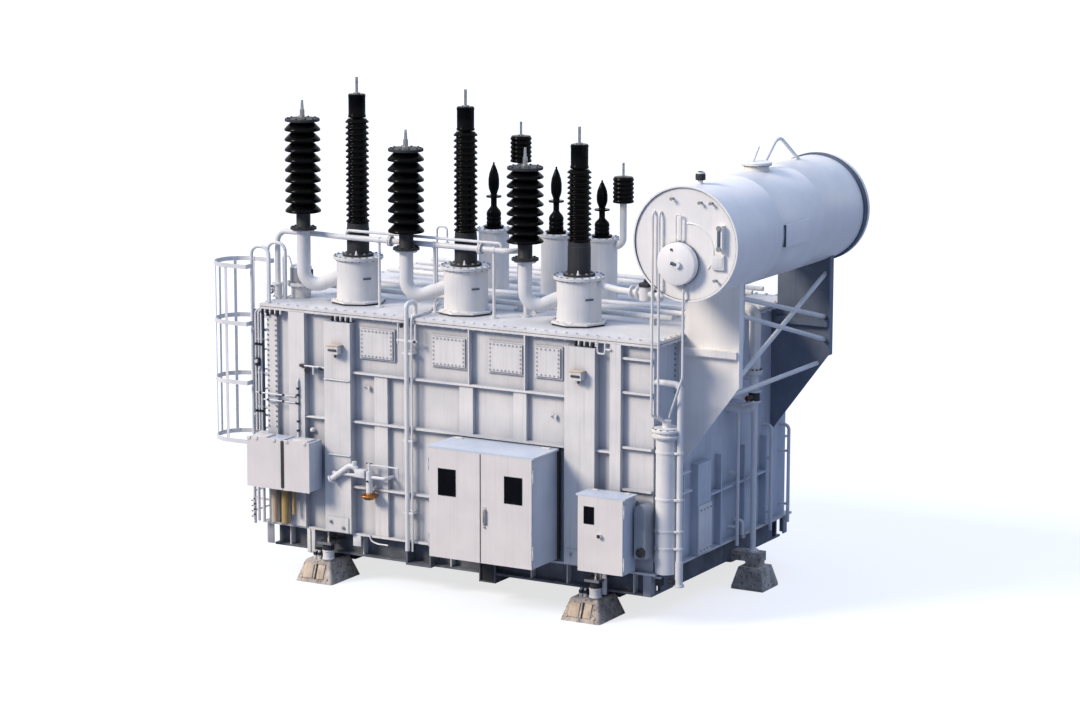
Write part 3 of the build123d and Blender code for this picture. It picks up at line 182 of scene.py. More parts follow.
class Coating:
    """A material in the making: patterns on Object coordinates, laid in coats under one main shader."""

    def __init__(self, name: str, colour: str) -> None:
        """Makes a material with a plain first coat.

        Args:
            name: the material's name.
            colour: the first coat's colour.
        """
        self.material = bpy.data.materials.new(name)
        self.material.use_nodes = True
        self.tree = self.material.node_tree
        self.tree.nodes.clear()
        self.shader = put(self.tree, "BsdfPrincipled")
        put(self.tree, "OutputMaterial", {0: self.shader.outputs[0]})
        self.where = put(self.tree, "TexCoord").outputs["Object"]
        self.base: Any = linear(colour)

    def cloud(self, size_mm: float, detail: float, stretch: Point = (1, 1, 1)) -> bpy.types.NodeSocket:
        """A cloudy pattern.

        Args:
            size_mm: the real size of a patch.
            detail: how many finer layers it has.
            stretch: how many times longer patches are along each axis.

        Returns:
            The pattern's value.
        """
        scale = [1 / s for s in stretch]
        mapped = put(self.tree, "Mapping", {"Vector": self.where, "Scale": scale}).outputs[0]
        sockets = {"Vector": mapped, "Scale": 1000 / size_mm, "Detail": detail}
        return put(self.tree, "TexNoise", sockets).outputs[0]

    def patches(self, size_mm: float, detail: float, fit: Fit,
                stretch: Point = (1, 1, 1)) -> bpy.types.NodeSocket:
        """A cloudy pattern with its contrast set by a fit."""
        return fitted(self.tree, self.cloud(size_mm, detail, stretch), fit)

    def coat(self, colour: str, share: bpy.types.NodeSocket) -> None:
        """Lays a colour over the coats so far, as thick as a pattern says."""
        made = put(self.tree, "Mix", {0: share, 6: self.base, 7: linear(colour)}, data_type="RGBA")
        self.base = made.outputs[2]

    def finish(self, sockets: dict[str, Any], relief: tuple[float, float, float, float] | None = None,
               stretch: Point = (1, 1, 1)) -> bpy.types.Material:
        """Wires the coats to the shader and adds the fine relief.

        Args:
            sockets: the shader's other inputs.
            relief: the relief's size in mm, its detail, strength and depth in metres.
            stretch: how many times longer it is along each axis.

        Returns:
            The material.
        """
        plug(self.tree, self.shader, {"Base Color": self.base, **sockets})
        if relief:
            size_mm, detail, strength, depth = relief
            height = self.cloud(size_mm, detail, stretch)
            bump = put(self.tree, "Bump", {"Height": height, "Strength": strength, "Distance": depth})
            plug(self.tree, self.shader, {"Normal": bump.outputs[0]})
        return self.material


@dataclass(frozen=True)
class Finish:
    """What every finish has: its material's name and its slot in the record."""

    name: str
    slot: Slot | None = None

    def make(self) -> bpy.types.Material:
        """Builds the material."""
        raise NotImplementedError


@dataclass(frozen=True)
class SprayedPaint(Finish):
    """Weathered two-pack paint sprayed on welded plate.

    Spraying leaves a faint orange peel, and rain leaves upright streaks of dust below each edge,
    a little darker and matter than the clean paint. Where corner is set, ambient occlusion paints shade
    into the corners between ribs and other recesses, cooler and greyer than the open faces.
    """

    colour: str = "E3E1DD"
    shade: str = "D6D6D4"
    dirt: str = "8C857A"
    # The colour of the painted shade in corners and recesses
    corner_shade_colour: str = "6F7C92"
    roughness: float = 0.42
    streak: float = 0.22
    splash: float = 0.0
    gloss: float = 0.22
    # How strongly ambient occlusion paints shade into corners and recesses
    corner: float = 0.0

    def make(self) -> bpy.types.Material:
        """Builds the material.

        Returns:
            The paint, with mottling of about 400 mm, streaks 25 mm wide and 0.8 mm orange peel drawn at 3 mm.
        """
        paint = Coating(self.name, self.colour)
        paint.coat(self.shade, paint.patches(420, 4, (0.35, 0.68, 0.0, 1.0)))
        paint.coat(self.dirt, paint.patches(45, 5, (0.52, 0.78, 0.0, self.streak), (1, 1, 34)))
        paint.coat(self.dirt, paint.patches(9, 4, (0.5, 0.8, 0.0, self.streak * 0.6), (1, 1, 60)))
        paint.coat(self.dirt, paint.patches(14, 6, (0.66, 0.76, 0.0, 0.3)))
        height = put(paint.tree, "SeparateXYZ", {0: paint.where}).outputs[2]
        low = fitted(paint.tree, height, (0.15, 1.15, self.splash, 0.0))
        mud = {0: low, 1: paint.patches(120, 5, (0.35, 0.7, 0.15, 1.0))}
        paint.coat(self.dirt, put(paint.tree, "Math", mud, operation="MULTIPLY").outputs[0])
        # Painted shade: ambient occlusion darkens corners and recesses towards a cool grey
        if self.corner:
            open_share = put(paint.tree, "AmbientOcclusion", {"Distance": 0.42}, samples=6).outputs["AO"]
            paint.coat(self.corner_shade_colour, fitted(paint.tree, open_share, (0.4, 0.95, self.corner, 0.0)))
        rough = paint.patches(90, 4, (0.3, 0.7, self.roughness - 0.07, self.roughness + 0.12))
        sockets = {"Roughness": rough, "IOR": 1.5, "Specular IOR Level": self.gloss}
        return paint.finish(sockets, (3, 2, 0.12, 0.0006))


@dataclass(frozen=True)
class GlazedPorcelain(Finish):
    """Brown-black glazed electrical porcelain: a hard wet gloss over a body colour, with a film of dust."""

    colour: str = "08080A"
    dust: str = "17181B"

    def make(self) -> bpy.types.Material:
        """Builds the material.

        Returns:
            The glaze, with dust in patches of about 60 mm and waviness of 30 mm from firing.
        """
        glaze = Coating(self.name, self.colour)
        glaze.coat(self.dust, glaze.patches(60, 5, (0.45, 0.8, 0.0, 0.3), (1, 1, 2.5)))
        rough = glaze.patches(45, 4, (0.35, 0.75, 0.16, 0.3))
        sockets = {"Roughness": rough, "IOR": 1.45, "Specular IOR Level": 0.06}
        return glaze.finish(sockets, (30, 1, 0.08, 0.001))


@dataclass(frozen=True)
class SandCast(Finish):
    """Sand-cast steel under thin old paint: grainy, chipped, dusty and stained from the ground up."""

    colour: str = "CCC3B7"
    shade: str = "97908A"
    chip: str = "4A4643"

    def make(self) -> bpy.types.Material:
        """Builds the material.

        Returns:
            The casting, with 2 mm sand grain drawn at 5 mm and chips of about 40 mm.
        """
        cast = Coating(self.name, self.colour)
        cast.coat(self.shade, cast.patches(160, 6, (0.35, 0.66, 0.0, 1.0)))
        cast.coat(self.chip, cast.patches(38, 6, (0.57, 0.64, 0.0, 0.75)))
        cast.coat(self.chip, cast.patches(16, 4, (0.55, 0.75, 0.0, 0.5), (1, 1, 9)))
        return cast.finish({"Roughness": 0.82}, (5, 4, 0.5, 0.002))


@dataclass(frozen=True)
class TurnedMetal(Finish):
    """Bare machined metal: bright, with fine tool rings and a dulled film from the weather."""

    colour: str = "A9ABAD"
    film: str = "6E6B66"
    roughness: float = 0.32

    def make(self) -> bpy.types.Material:
        """Builds the material.

        Returns:
            The metal, with 0.3 mm tool rings drawn at 4 mm and stains of about 35 mm.
        """
        metal = Coating(self.name, self.colour)
        stain = metal.patches(35, 5, (0.45, 0.72, 0.0, 0.8))
        metal.coat(self.film, stain)
        rough = fitted(metal.tree, stain, (0.0, 0.8, self.roughness, self.roughness + 0.25))
        return metal.finish({"Metallic": 1.0, "Roughness": rough}, (4, 2, 0.15, 0.0005), (8, 8, 1))


@dataclass(frozen=True)
class MouldedRubber(Finish):
    """Moulded black rubber for gaskets and seals, and for dark pieces of painted shade: matt, with a grey
    bloom.
    """

    colour: str = "1C1D1F"
    bloom: str = "3C3D3F"

    def make(self) -> bpy.types.Material:
        """Builds the material.

        Returns:
            The rubber, with bloom in patches of about 20 mm.
        """
        rubber = Coating(self.name, self.colour)
        rubber.coat(self.bloom, rubber.patches(20, 4, (0.4, 0.7, 0.0, 0.7)))
        return rubber.finish({"Roughness": 0.7}, (2, 2, 0.2, 0.0004))


@dataclass(frozen=True)
class DarkGlazing(Finish):
    """Toughened float glass over a dark cabinet: a flat gloss with dust at its edges."""

    colour: str = "050608"
    dust: str = "17191C"

    def make(self) -> bpy.types.Material:
        """Builds the material.

        Returns:
            The glass, with a dust film in patches of about 80 mm.
        """
        glass = Coating(self.name, self.colour)
        film = glass.patches(80, 5, (0.5, 0.75, 0.0, 0.35))
        glass.coat(self.dust, film)
        rough = fitted(glass.tree, film, (0.0, 0.35, 0.05, 0.3))
        return glass.finish({"Roughness": rough, "IOR": 1.52, "Specular IOR Level": 0.12})


FINISHES: dict[str, Finish] = {
    "tank": SprayedPaint("sprayed_paint_tank", Slot.WHITE, splash=0.25, corner=0.6),
    # The end wall faces away from the lamp: its bluish grey is painted shade, and its corners get painted
    # shade as well
    "end_wall": SprayedPaint("sprayed_paint_end_wall_painted_shade", Slot.WHITE, "CFD5DE", "BFC6D1", corner=0.45),
    # The rear saddle plate is white paint; its dark blue grey is painted shade for the shade under the drum
    "rear_plate": SprayedPaint("rear_saddle_painted_shade", Slot.WHITE, "6F7988", "5F6978", "4A5058"),
    "gear": SprayedPaint("sprayed_paint_gear", Slot.WHITE, "E1E1DF", "D2D4D6", streak=0.16),
    "drum": SprayedPaint("sprayed_paint_drum", Slot.WHITE, "EDECE9", "E5E5E3", roughness=0.36,
                         streak=0.1, gloss=0.45),
    "cabinet": SprayedPaint("powder_coat_cabinet", Slot.WHITE, "DEDAD6", "D5D2CF", roughness=0.36,
                            streak=0.12),
    # The cabinets' and boxes' bodies are darker and bluer than their doors and lids as painted shade on their
    # sides, with painted shade in their corners too
    "cabinet_body": SprayedPaint("powder_coat_cabinet_body_painted_shade", Slot.WHITE, "CBD2DB", "C0C8D3", roughness=0.36,
                                 streak=0.12, corner=0.35),
    # The skid is white paint; its dark blue grey is painted shade for the shade under the tank
    "skid": SprayedPaint("sprayed_paint_skid_painted_shade", Slot.WHITE, "7C828C", "565B64", "3F3F40", streak=0.4,
                         splash=0.4),
    "beam": SprayedPaint("sprayed_paint_beam", Slot.BEAM, "3C3F46", "2A2C32", "1F1E1E", roughness=0.6),
    "grey": SprayedPaint("sprayed_paint_grey", Slot.GREY, "A3A6AB", "8B8F95", roughness=0.45),
    "beige": SprayedPaint("primer_beige", Slot.PAD, "D9C9B2", "B5A48E", "6B5E50", roughness=0.7, streak=0.5),
    "red": SprayedPaint("stoved_paint_red", None, "8E3A2C", "6F2C22", "4A2620", roughness=0.5),
    "ochre": SprayedPaint("cable_sheath_ochre", None, "B9A06A", "97804F", "5E5138", roughness=0.6),
    "slate": SprayedPaint("undercoat_slate", Slot.GREY, "5C6775", "4B5563", "3C4148", roughness=0.6),
    "dark": SprayedPaint("stoved_paint_dark", Slot.BEAM, "35373B", "2A2C30", "57534D", roughness=0.5),
    "porcelain": GlazedPorcelain("glazed_porcelain", Slot.PORCELAIN),
    "pad": SandCast("sand_cast_pad", Slot.PAD),
    "steel": TurnedMetal("turned_steel", Slot.STEEL),
    "zinc": TurnedMetal("zinc_plated_steel", Slot.STEEL, "9DA0A2", "77756F", 0.45),
    "bronze": TurnedMetal("cast_bronze", Slot.STEEL, "B07A45", "5F4632", 0.4),
    "rubber": MouldedRubber("moulded_rubber"),
    "glass": DarkGlazing("toughened_glass", Slot.GLASS),
}


class Shop:
    """The finishes of the whole object, made once each."""

    def __init__(self) -> None:
        """Builds every finish."""
        self.made = {key: finish.make() for key, finish in FINISHES.items()}

    def dress(self, obj: bpy.types.Object, key: str) -> None:
        """Gives an object one finish in place of what it has.

        Args:
            obj: the object.
            key: the finish's short name.
        """
        obj.data.materials.clear()
        obj.data.materials.append(self.made[key])


# Mesh building


class Forge:
    """One piece in the making: solid shapes in one mesh, in millimetres from the tank's middle."""

    def __init__(self, name: str, key: str, body: str = "transformer", replaces: Sequence[str] = (),
                 sharp: float = 38.0) -> None:
        """Starts an empty mesh.

        Args:
            name: the piece's name.
            key: its finish's short name.
            body: the CAD body that it rides on.
            replaces: the CAD nodes that it stands for.
            sharp: the angle in degrees from which an edge stays sharp.
        """
        self.name = name
        self.key = key
        self.body = body
        self.replaces = replaces
        self.sharp = sharp
        self.bm = bmesh.new()

    def bevel(self, edges: Iterable[bmesh.types.BMEdge], width: float, segments: int = 2) -> None:
        """Rounds edges to a width in a number of segments."""
        bmesh.ops.bevel(self.bm, geom=list(edges), offset=width, offset_type="OFFSET", segments=segments,
                        profile=0.5, affect="EDGES", material=-1)

    def block(self, place: Matrix, edge: float = 0.0) -> list[bmesh.types.BMVert]:
        """A block with its edges broken.

        Args:
            place: the matrix that sizes and places a unit cube.
            edge: the width of the bevel.

        Returns:
            The cube's corners, where they have no bevel.
        """
        verts = bmesh.ops.create_cube(self.bm, size=1, matrix=place)["verts"]
        if edge:
            self.bevel({e for v in verts for e in v.link_edges}, edge)
        return verts

    def box(self, low: Point, high: Point, edge: float = 0.0) -> None:
        """A block along the axes.

        Args:
            low: the lowest corner.
            high: the highest corner.
            edge: the width of the bevel.
        """
        size = [h - l for l, h in zip(low, high)]
        middle = [(l + h) / 2 for l, h in zip(low, high)]
        self.block(Matrix.Translation(middle) @ Matrix.Diagonal((*size, 1)), edge)

    def rod(self, a: Point, b: Point, radius: float, sides: int = 16,
            end_radius: float | None = None) -> None:
        """A round bar or cone between two points.

        Args:
            a: the middle of its first end.
            b: the middle of its other end.
            radius: the first end's radius.
            sides: the number of sides.
            end_radius: the other end's radius, where it isn't the same.
        """
        start, reach = Vector(a), Vector(b) - Vector(a)
        turn = reach.to_track_quat("Z", "Y").to_matrix().to_4x4()
        bmesh.ops.create_cone(self.bm, cap_ends=True, segments=sides, radius1=radius,
                              radius2=radius if end_radius is None else end_radius, depth=reach.length,
                              matrix=Matrix.Translation(start + reach / 2) @ turn)

    def post(self, x: float, y: float, low: float, high: float, radius: float, sides: int = 16) -> None:
        """An upright round bar between two heights."""
        self.rod((x, y, low), (x, y, high), radius, sides)

    def lathe(self, place: Point, outline: Outline, facing: Facing = Facing.UP, steps: int = 40) -> None:
        """A turned solid.

        Args:
            place: the outline's origin.
            outline: radius and height of each corner.
            facing: the way that height grows.
            steps: the number of steps round.
        """
        axis = way(facing)
        turn = Matrix.Translation(place) @ axis.to_track_quat("Z", "Y").to_matrix().to_4x4()
        verts = [self.bm.verts.new(turn @ Vector((r, 0, z))) for r, z in outline]
        edges = [self.bm.edges.new(pair) for pair in zip(verts, verts[1:])]
        bmesh.ops.spin(self.bm, geom=verts + edges, cent=place, axis=axis, angle=math.tau, steps=steps,
                       use_merge=True, use_duplicate=False)

    def pipe(self, points: Sequence[Point], radius: float, bend: float = 0.0, sides: int = 16) -> None:
        """A round pipe with rounded elbows.

        Args:
            points: its corners.
            radius: the pipe's radius.
            bend: the radius of each elbow.
            sides: the number of sides.
        """
        corners = [Vector(p) for p in points]
        ahead = (corners[1] - corners[0]).normalized()
        place = Matrix.Translation(corners[0]) @ ahead.to_track_quat("Z", "Y").to_matrix().to_4x4()
        made = bmesh.ops.create_circle(self.bm, cap_ends=True, segments=sides, radius=radius, matrix=place)
        ring = made["verts"]
        edges = list({e for v in ring for e in v.link_edges})
        at = corners[0]
        for i in range(1, len(corners)):
            end = corners[i]
            turning = i < len(corners) - 1
            if turning:
                onward = (corners[i + 1] - end).normalized()
                angle = ahead.angle(onward)
                end = end - ahead * bend * math.tan(angle / 2)
            made = bmesh.ops.extrude_edge_only(self.bm, edges=edges)["geom"]
            moved = [g for g in made if isinstance(g, bmesh.types.BMVert)]
            bmesh.ops.translate(self.bm, verts=moved, vec=end - at)
            edges = [g for g in made
                     if isinstance(g, bmesh.types.BMEdge) and not any(v in ring for v in g.verts)]
            at = end
            if turning:
                axis = ahead.cross(onward).normalized()
                centre = at + axis.cross(ahead) * bend
                steps = max(2, round(angle / 0.3))
                made = bmesh.ops.spin(self.bm, geom=edges, cent=centre, axis=axis, angle=angle, steps=steps,
                                      use_duplicate=False)["geom_last"]
                edges = [g for g in made if isinstance(g, bmesh.types.BMEdge)]
                at = centre + Matrix.Rotation(angle, 3, axis) @ (at - centre)
                ahead = onward
            ring = list({v for e in edges for v in e.verts})
        bmesh.ops.contextual_create(self.bm, geom=edges)

    def bolt(self, place: Point, facing: Facing | Point, size: float) -> None:
        """A hexagon head on its seat, sized by the thread's diameter."""
        seat = Vector(place)
        self.rod(seat, seat + way(facing) * size * 0.85, size * 0.85, 6)

    def bolt_ring(self, place: Point, facing: Facing, radius: float, count: int, size: float) -> None:
        """Bolts in a circle on a flange.

        Args:
            place: the flange face's middle.
            facing: the way the bolts point.
            radius: the circle's radius.
            count: the number of bolts.
            size: the thread's diameter.
        """
        out = way(facing)
        side = out.orthogonal().normalized() * radius
        for i in range(count):
            spot = Vector(place) + Matrix.Rotation(math.tau * (i + 0.5) / count, 3, out) @ side
            self.bolt(spot, facing, size)

    def bolt_line(self, a: Point, b: Point, facing: Facing, pitch: float, size: float = 24.0) -> None:
        """Bolts along a line, at about the pitch given.

        Args:
            a: the first bolt's seat.
            b: the last bolt's seat.
            facing: the way they point.
            pitch: the distance between bolts.
            size: the thread's diameter.
        """
        start, reach = Vector(a), Vector(b) - Vector(a)
        count = max(1, round(reach.length / pitch))
        for i in range(count + 1):
            self.bolt(start + reach * i / count, facing, size)

    def place(self, shop: Shop) -> None:
        """Turns what was gathered into one finished piece.

        Args:
            shop: the finishes.
        """
        verts = self.bm.verts
        bmesh.ops.remove_doubles(self.bm, verts=verts, dist=0.02)
        bmesh.ops.recalc_face_normals(self.bm, faces=self.bm.faces)
        to_frame = Matrix.Translation(TANK_MIDDLE) @ Matrix.Scale(0.001, 4)
        bmesh.ops.transform(self.bm, matrix=to_frame, verts=verts)
        mesh = bpy.data.meshes.new(self.name)
        self.bm.to_mesh(mesh)
        self.bm.free()
        mesh.shade_smooth()
        mesh.set_sharp_from_angle(angle=math.radians(self.sharp))
        obj = bpy.data.objects.new(self.name, mesh)
        bpy.context.scene.collection.objects.link(obj)
        shop.dress(obj, self.key)
        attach(obj, self.body)
        if self.replaces:
            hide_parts(*self.replaces)
        LOG.info("%s: %d faces, %s, on %s", self.name, len(mesh.polygons), self.key, self.body)


@dataclass
class Assembly:
    """A sub-assembly: its makers start pieces and fill them, and build() finishes them in that order."""

    shop: Shop
    started: list[Forge] = field(default_factory=list, init=False)

    def piece(self, name: str, key: str, **options: Any) -> Forge:
        """Starts a piece, as Forge describes it."""
        self.started.append(Forge(name, key, **options))
        return self.started[-1]

    def makers(self) -> Makers:
        """The methods that fill the pieces."""
        raise NotImplementedError

    def build(self) -> None:
        """Fills and finishes every piece."""
        for make in self.makers():
            make()
        for forge in self.started:
            forge.place(self.shop)


# Tank


@dataclass
class TankGear(Assembly):
    """Fasteners and small fittings on the tank."""

    half_length: float = 3000.0
    half_width: float = 2000.0
    rim_reach: float = 45.0
    gasket_reach: float = 86.0
    gasket_z: float = 3750.0
    bolt_pitch: float = 155.0
    # The middle and the width of each hand hole
    hand_holes: tuple[tuple[float, float], ...] = (
        (-1210.2, 560.0), (-72.0, 560.0), (805.8, 560.0), (1450.2, 420.0))
    hand_z: float = 3375.0
    hand_height: float = 440.0
    hand_out: float = 52.0
    hand_inset: float = 48.0
    hand_bolt: float = 12.0

    def makers(self) -> Makers:
        """The rim's and the hand holes' makers."""
        return self.rim_bolts, self.rim_gasket, self.hand_hole_bolts

    def rim_bolts(self) -> None:
        """The bolts round the cover's rim, heads above and nuts below."""
        bolts = self.piece("rim_bolts", "gear")
        x, y = self.half_length + self.rim_reach, self.half_width + self.rim_reach
        corners = [(-x, -y), (x, -y), (x, y), (-x, y), (-x, -y)]
        for (ax, ay), (bx, by) in zip(corners, corners[1:]):
            step = Vector((bx - ax, by - ay)).normalized() * self.bolt_pitch / 2
            a, b = (ax + step.x, ay + step.y), (bx - step.x, by - step.y)
            bolts.bolt_line((*a, COVER_TOP), (*b, COVER_TOP), Facing.UP, self.bolt_pitch)
            bolts.bolt_line((*a, RIM_LOW), (*b, RIM_LOW), Facing.DOWN, self.bolt_pitch)

    def rim_gasket(self) -> None:
        """The dark line of the gasket between the rim and the cover."""
        gasket = self.piece("rim_gasket", "rubber")
        x, y, z = self.half_length + self.gasket_reach, self.half_width + self.gasket_reach, self.gasket_z
        for side in (-1, 1):
            y0, y1 = sorted((side * y, side * (y - 6)))
            gasket.box((-x, y0, z - 3), (x, y1, z + 3))
            x0, x1 = sorted((side * x, side * (x - 6)))
            gasket.box((x0, -y, z - 3), (x1, y, z + 3))

    def hand_hole_bolts(self) -> None:
        """The bolts round each hand hole lid, on both long walls."""
        bolts = self.piece("hand_hole_bolts", "grey")
        h, z, size = self.hand_height / 2 - self.hand_inset, self.hand_z, self.hand_bolt
        for x, width in self.hand_holes:
            w = width / 2 - self.hand_inset
            for side, facing in SIDES:
                y = side * (self.half_width + self.hand_out)
                for dz in (-h, h):
                    bolts.bolt_line((x - w, y, z + dz), (x + w, y, z + dz), facing, 60, size)
                for dx in (-w, w):
                    bolts.bolt_line((x + dx, y, z - h + 56), (x + dx, y, z + h - 56), facing, 56, size)


# Bushings and turrets


@dataclass
class TurretRow(Assembly):
    """The high and low voltage turrets with their flanges."""

    hv_radius: float = 300.0
    hv_flange: float = 348.0
    foot_reach: float = 384.0
    lug_angle: float = 0.97
    lv_radius: float = 215.0
    lv_flange: float = 240.0

    def makers(self) -> Makers:
        """The feet's and the drums' makers."""
        return self.feet, self.drums

    def outline(self, r: float, top: float, f: float) -> list[tuple[float, float]]:
        """A turret's foot ring, drum, pair of flanges and gasket groove.

        Args:
            r: the drum's radius.
            top: its height above the cover.
            f: the flange's radius.

        Returns:
            Radius and height of each corner.
        """
        flanges = [(f - 2, -36), (f, -34), (f, -20), (f - 6, -19), (f - 6, -16), (f, -15), (f, -2),
                   (f - 2, 0), (0, 0)]
        drum = [(0, 0), (r + 6, 0), (r + 6, 58), (r, 64), (r, top - 40), (r + 4, top - 36)]
        return drum + [(radius, top + z) for radius, z in flanges]

    def feet(self) -> None:
        """The high turrets' eight-sided foot plates over dark rubber rings of painted shadow, and their lugs,
        dark as painted shade.
        """
        plates = self.piece("turret_foot_plates", "gear")
        seals = self.piece("turret_foot_painted_shadow", "rubber")
        lugs = self.piece("turret_lugs_painted_shade", "slate")
        reach, seam, top = self.foot_reach, 24, 50
        out = Vector((math.sin(self.lug_angle), -math.cos(self.lug_angle), 0))
        side = Vector((out.y, -out.x, 0)) * 56
        for x in HV_XS:
            foot = (x, HV_Y, COVER_TOP)
            # Painted shadow: a dark ring under the foot plate
            seals.lathe(foot, [(0, 0), (reach - 8, 0), (reach - 8, seam), (0, seam)], steps=8)
            plates.lathe(foot, [(0, seam), (reach, seam), (reach, top), (0, top)], steps=8)
            plates.bolt_ring((x, HV_Y, COVER_TOP + top), Facing.UP, self.hv_radius + 24, 16, 14)
            spot = Vector((x, HV_Y, COVER_TOP + 365)) + out * (self.hv_radius + 2)
            # Painted shade: the lug is dark for its shade and its shadow
            lugs.rod(spot - side, spot + side, 15, 10)
            tap = Vector((x, HV_Y, HV_TOP + 28)) + Vector((0.41, -0.91, 0)) * 188
            plates.rod(tap, tap + Vector((0, 0, 62)), 20, 12, 7)

    def drums(self) -> None:
        """The turrets' drums and the bolts of their flanges."""
        tall = self.piece("hv_turret_drums", "gear", replaces=["hv_turrets"])
        low = self.piece("lv_turret_drums", "gear", replaces=["lv_turrets"])
        bolts = self.piece("turret_bolts", "grey")
        outline = self.outline(self.hv_radius, HV_TOP - COVER_TOP, self.hv_flange)
        for x in HV_XS:
            tall.lathe((x, HV_Y, COVER_TOP), outline, steps=64)
            bolts.bolt_ring((x, HV_Y, HV_TOP), Facing.UP, self.hv_flange - 24, 20, 18)
            bolts.bolt_ring((x, HV_Y, HV_TOP - 36), Facing.DOWN, self.hv_flange - 24, 20, 16)
            bolts.bolt_ring((x, HV_Y, HV_TOP + 30), Facing.UP, 190, 12, 18)
        outline = self.outline(self.lv_radius, LV_TOP - COVER_TOP, self.lv_flange)
        for x in LV_XS:
            low.lathe((x, LV_Y, COVER_TOP), outline, steps=64)
            bolts.bolt_ring((x, LV_Y, LV_TOP), Facing.UP, self.lv_flange - 18, 14, 16)


@dataclass
class BushingRow(Assembly):
    """Every bushing, with rounded sheds, metal heads and terminal studs."""

    collar_height: float = 460.0
    hv_rows: tuple[tuple[float, int], ...] = ((6350.0, 18), (6270.0, 17), (5870.0, 14))
    line_y: float = -1670.0
    line_neck: float = 232.0
    line_rows: tuple[tuple[float, float, float, int], ...] = (
        (-2620.2, 4800.0, 6330.0, 9), (-960.0, 4640.0, 6020.0, 8), (889.8, 4640.0, 5890.0, 8))
    lv_heights: tuple[float, ...] = (930.0, 930.0, 790.0)
    neutral_places: tuple[tuple[float, float, float], ...] = (
        (300.0, -750.0, 5810.0), (1309.8, 300.0, 5200.0))
    ring_pitch: float = 60.0
    ring_count: int = 6
    shed_root: float = 2.0
    # Radius of each corner of a shed, and its height as a share of the pitch
    slim_shed: Outline = ((128, 0), (136, 0.1), (158, 0.1), (163, 0.2), (159, 0.32), (133, 0.62), (128, 0.75))
    wide_shed: Outline = ((160, 0), (222, 0.03), (241, 0.07), (248, 0.17), (244, 0.28), (226, 0.42),
                          (182, 0.74), (164, 0.86), (160, 0.95))
    hv_collar: Outline = ((0, 0), (213, 0), (215, 2), (215, 28), (213, 30), (162, 30), (155, 38), (155, 390),
                          (150, 396), (150, 448), (140, 460), (0, 460))
    hv_head: Outline = ((0, -1), (120, -1), (123, 10), (123, 26), (117, 34), (117, 270), (120, 276),
                        (120, 306), (106, 320), (0, 320))
    hv_stud: Outline = ((0, 319), (46, 319), (46, 336), (20, 340), (20, 548), (18, 550), (0, 550))
    line_flange: Outline = ((0, 0), (180, 0), (182, 2), (182, 30), (180, 32), (104, 32), (98, 40), (98, 212),
                            (120, 224), (150, 232), (0, 232))
    line_cap: Outline = ((0, -39), (236, -39), (240, -34), (240, -5), (234, 0), (0, 0))
    line_stud: Outline = ((0, -1), (60, -1), (60, 22), (34, 28), (32, 120), (24, 124), (16, 250), (0, 250))
    # Radius of each corner of a candle bushing, and its height as a share of the whole
    candle: Outline = (
        (0, 0), (138, 0), (138, 0.045), (98, 0.05), (103, 0.07), (103, 0.1), (96, 0.115), (103, 0.135),
        (103, 0.165), (96, 0.18), (103, 0.2), (103, 0.235), (90, 0.27), (52, 0.32), (42, 0.34), (42, 0.46),
        (60, 0.468), (104, 0.47), (108, 0.476), (108, 0.49), (104, 0.497), (50, 0.5), (44, 0.52),
        (56, 0.56), (72, 0.61), (76, 0.66), (76, 0.74), (66, 0.82), (48, 0.88), (24, 0.95), (14, 0.965),
        (12, 1.0), (0, 1.0))
    neutral_ring: Outline = ((131, 2), (141, 6), (145, 16), (143, 32), (133, 42), (131, 56))
    neutral_stud: Outline = ((0, -1), (38, -1), (38, 14), (17, 18), (17, 188), (15, 190), (0, 190))

    def makers(self) -> Makers:
        """One maker for each kind of bushing."""
        return self.high_voltage, self.line, self.low_voltage, self.neutral

    def sheds(self, shed: Outline, height: float, count: int) -> list[tuple[float, float]]:
        """The outline of a stack of sheds with rounded lips, closed at both ends.

        Args:
            shed: one shed's corners, with heights as shares of the pitch.
            height: the stack's height.
            count: the number of sheds.

        Returns:
            Radius and height of each corner.
        """
        pitch = height / count
        rings = [(r, i * pitch + max(self.shed_root, share * pitch))
                 for i in range(count) for r, share in shed]
        return [(0, -1), *rings, (0, height)]

    def high_voltage(self) -> None:
        """The slim bushings: base flange, grey collar, porcelain, plain head and stud."""
        metal = self.piece("hv_bushing_collars", "dark")
        glaze = self.piece("hv_bushing_porcelain", "porcelain", replaces=["hv_bushings"])
        head = self.piece("hv_bushing_heads", "porcelain")
        studs = self.piece("hv_bushing_studs", "steel")
        low = HV_TOP + self.collar_height
        for x, (top, count) in zip(HV_XS, self.hv_rows):
            metal.lathe((x, HV_Y, HV_TOP), self.hv_collar, steps=48)
            glaze.lathe((x, HV_Y, low), self.sheds(self.slim_shed, top - low, count), steps=48)
            head.lathe((x, HV_Y, top), self.hv_head, steps=48)
            studs.lathe((x, HV_Y, top), self.hv_stud, steps=20)

    def line(self) -> None:
        """The wide bushings on their cranked pipes."""
        metal = self.piece("line_bushing_fittings", "dark")
        glaze = self.piece("line_bushing_porcelain", "porcelain", replaces=["line_bushings"])
        studs = self.piece("line_bushing_studs", "steel")
        for x, seat, top, count in self.line_rows:
            low = seat + self.line_neck
            metal.lathe((x, self.line_y, seat), self.line_flange, steps=48)
            glaze.lathe((x, self.line_y, low), self.sheds(self.wide_shed, top - 38 - low, count), steps=48)
            metal.lathe((x, self.line_y, top), self.line_cap, steps=48)
            metal.bolt_ring((x, self.line_y, seat + 32), Facing.UP, 150, 10, 18)
            metal.bolt_ring((x, self.line_y, top), Facing.UP, 200, 10, 16)
            studs.lathe((x, self.line_y, top), self.line_stud, steps=20)

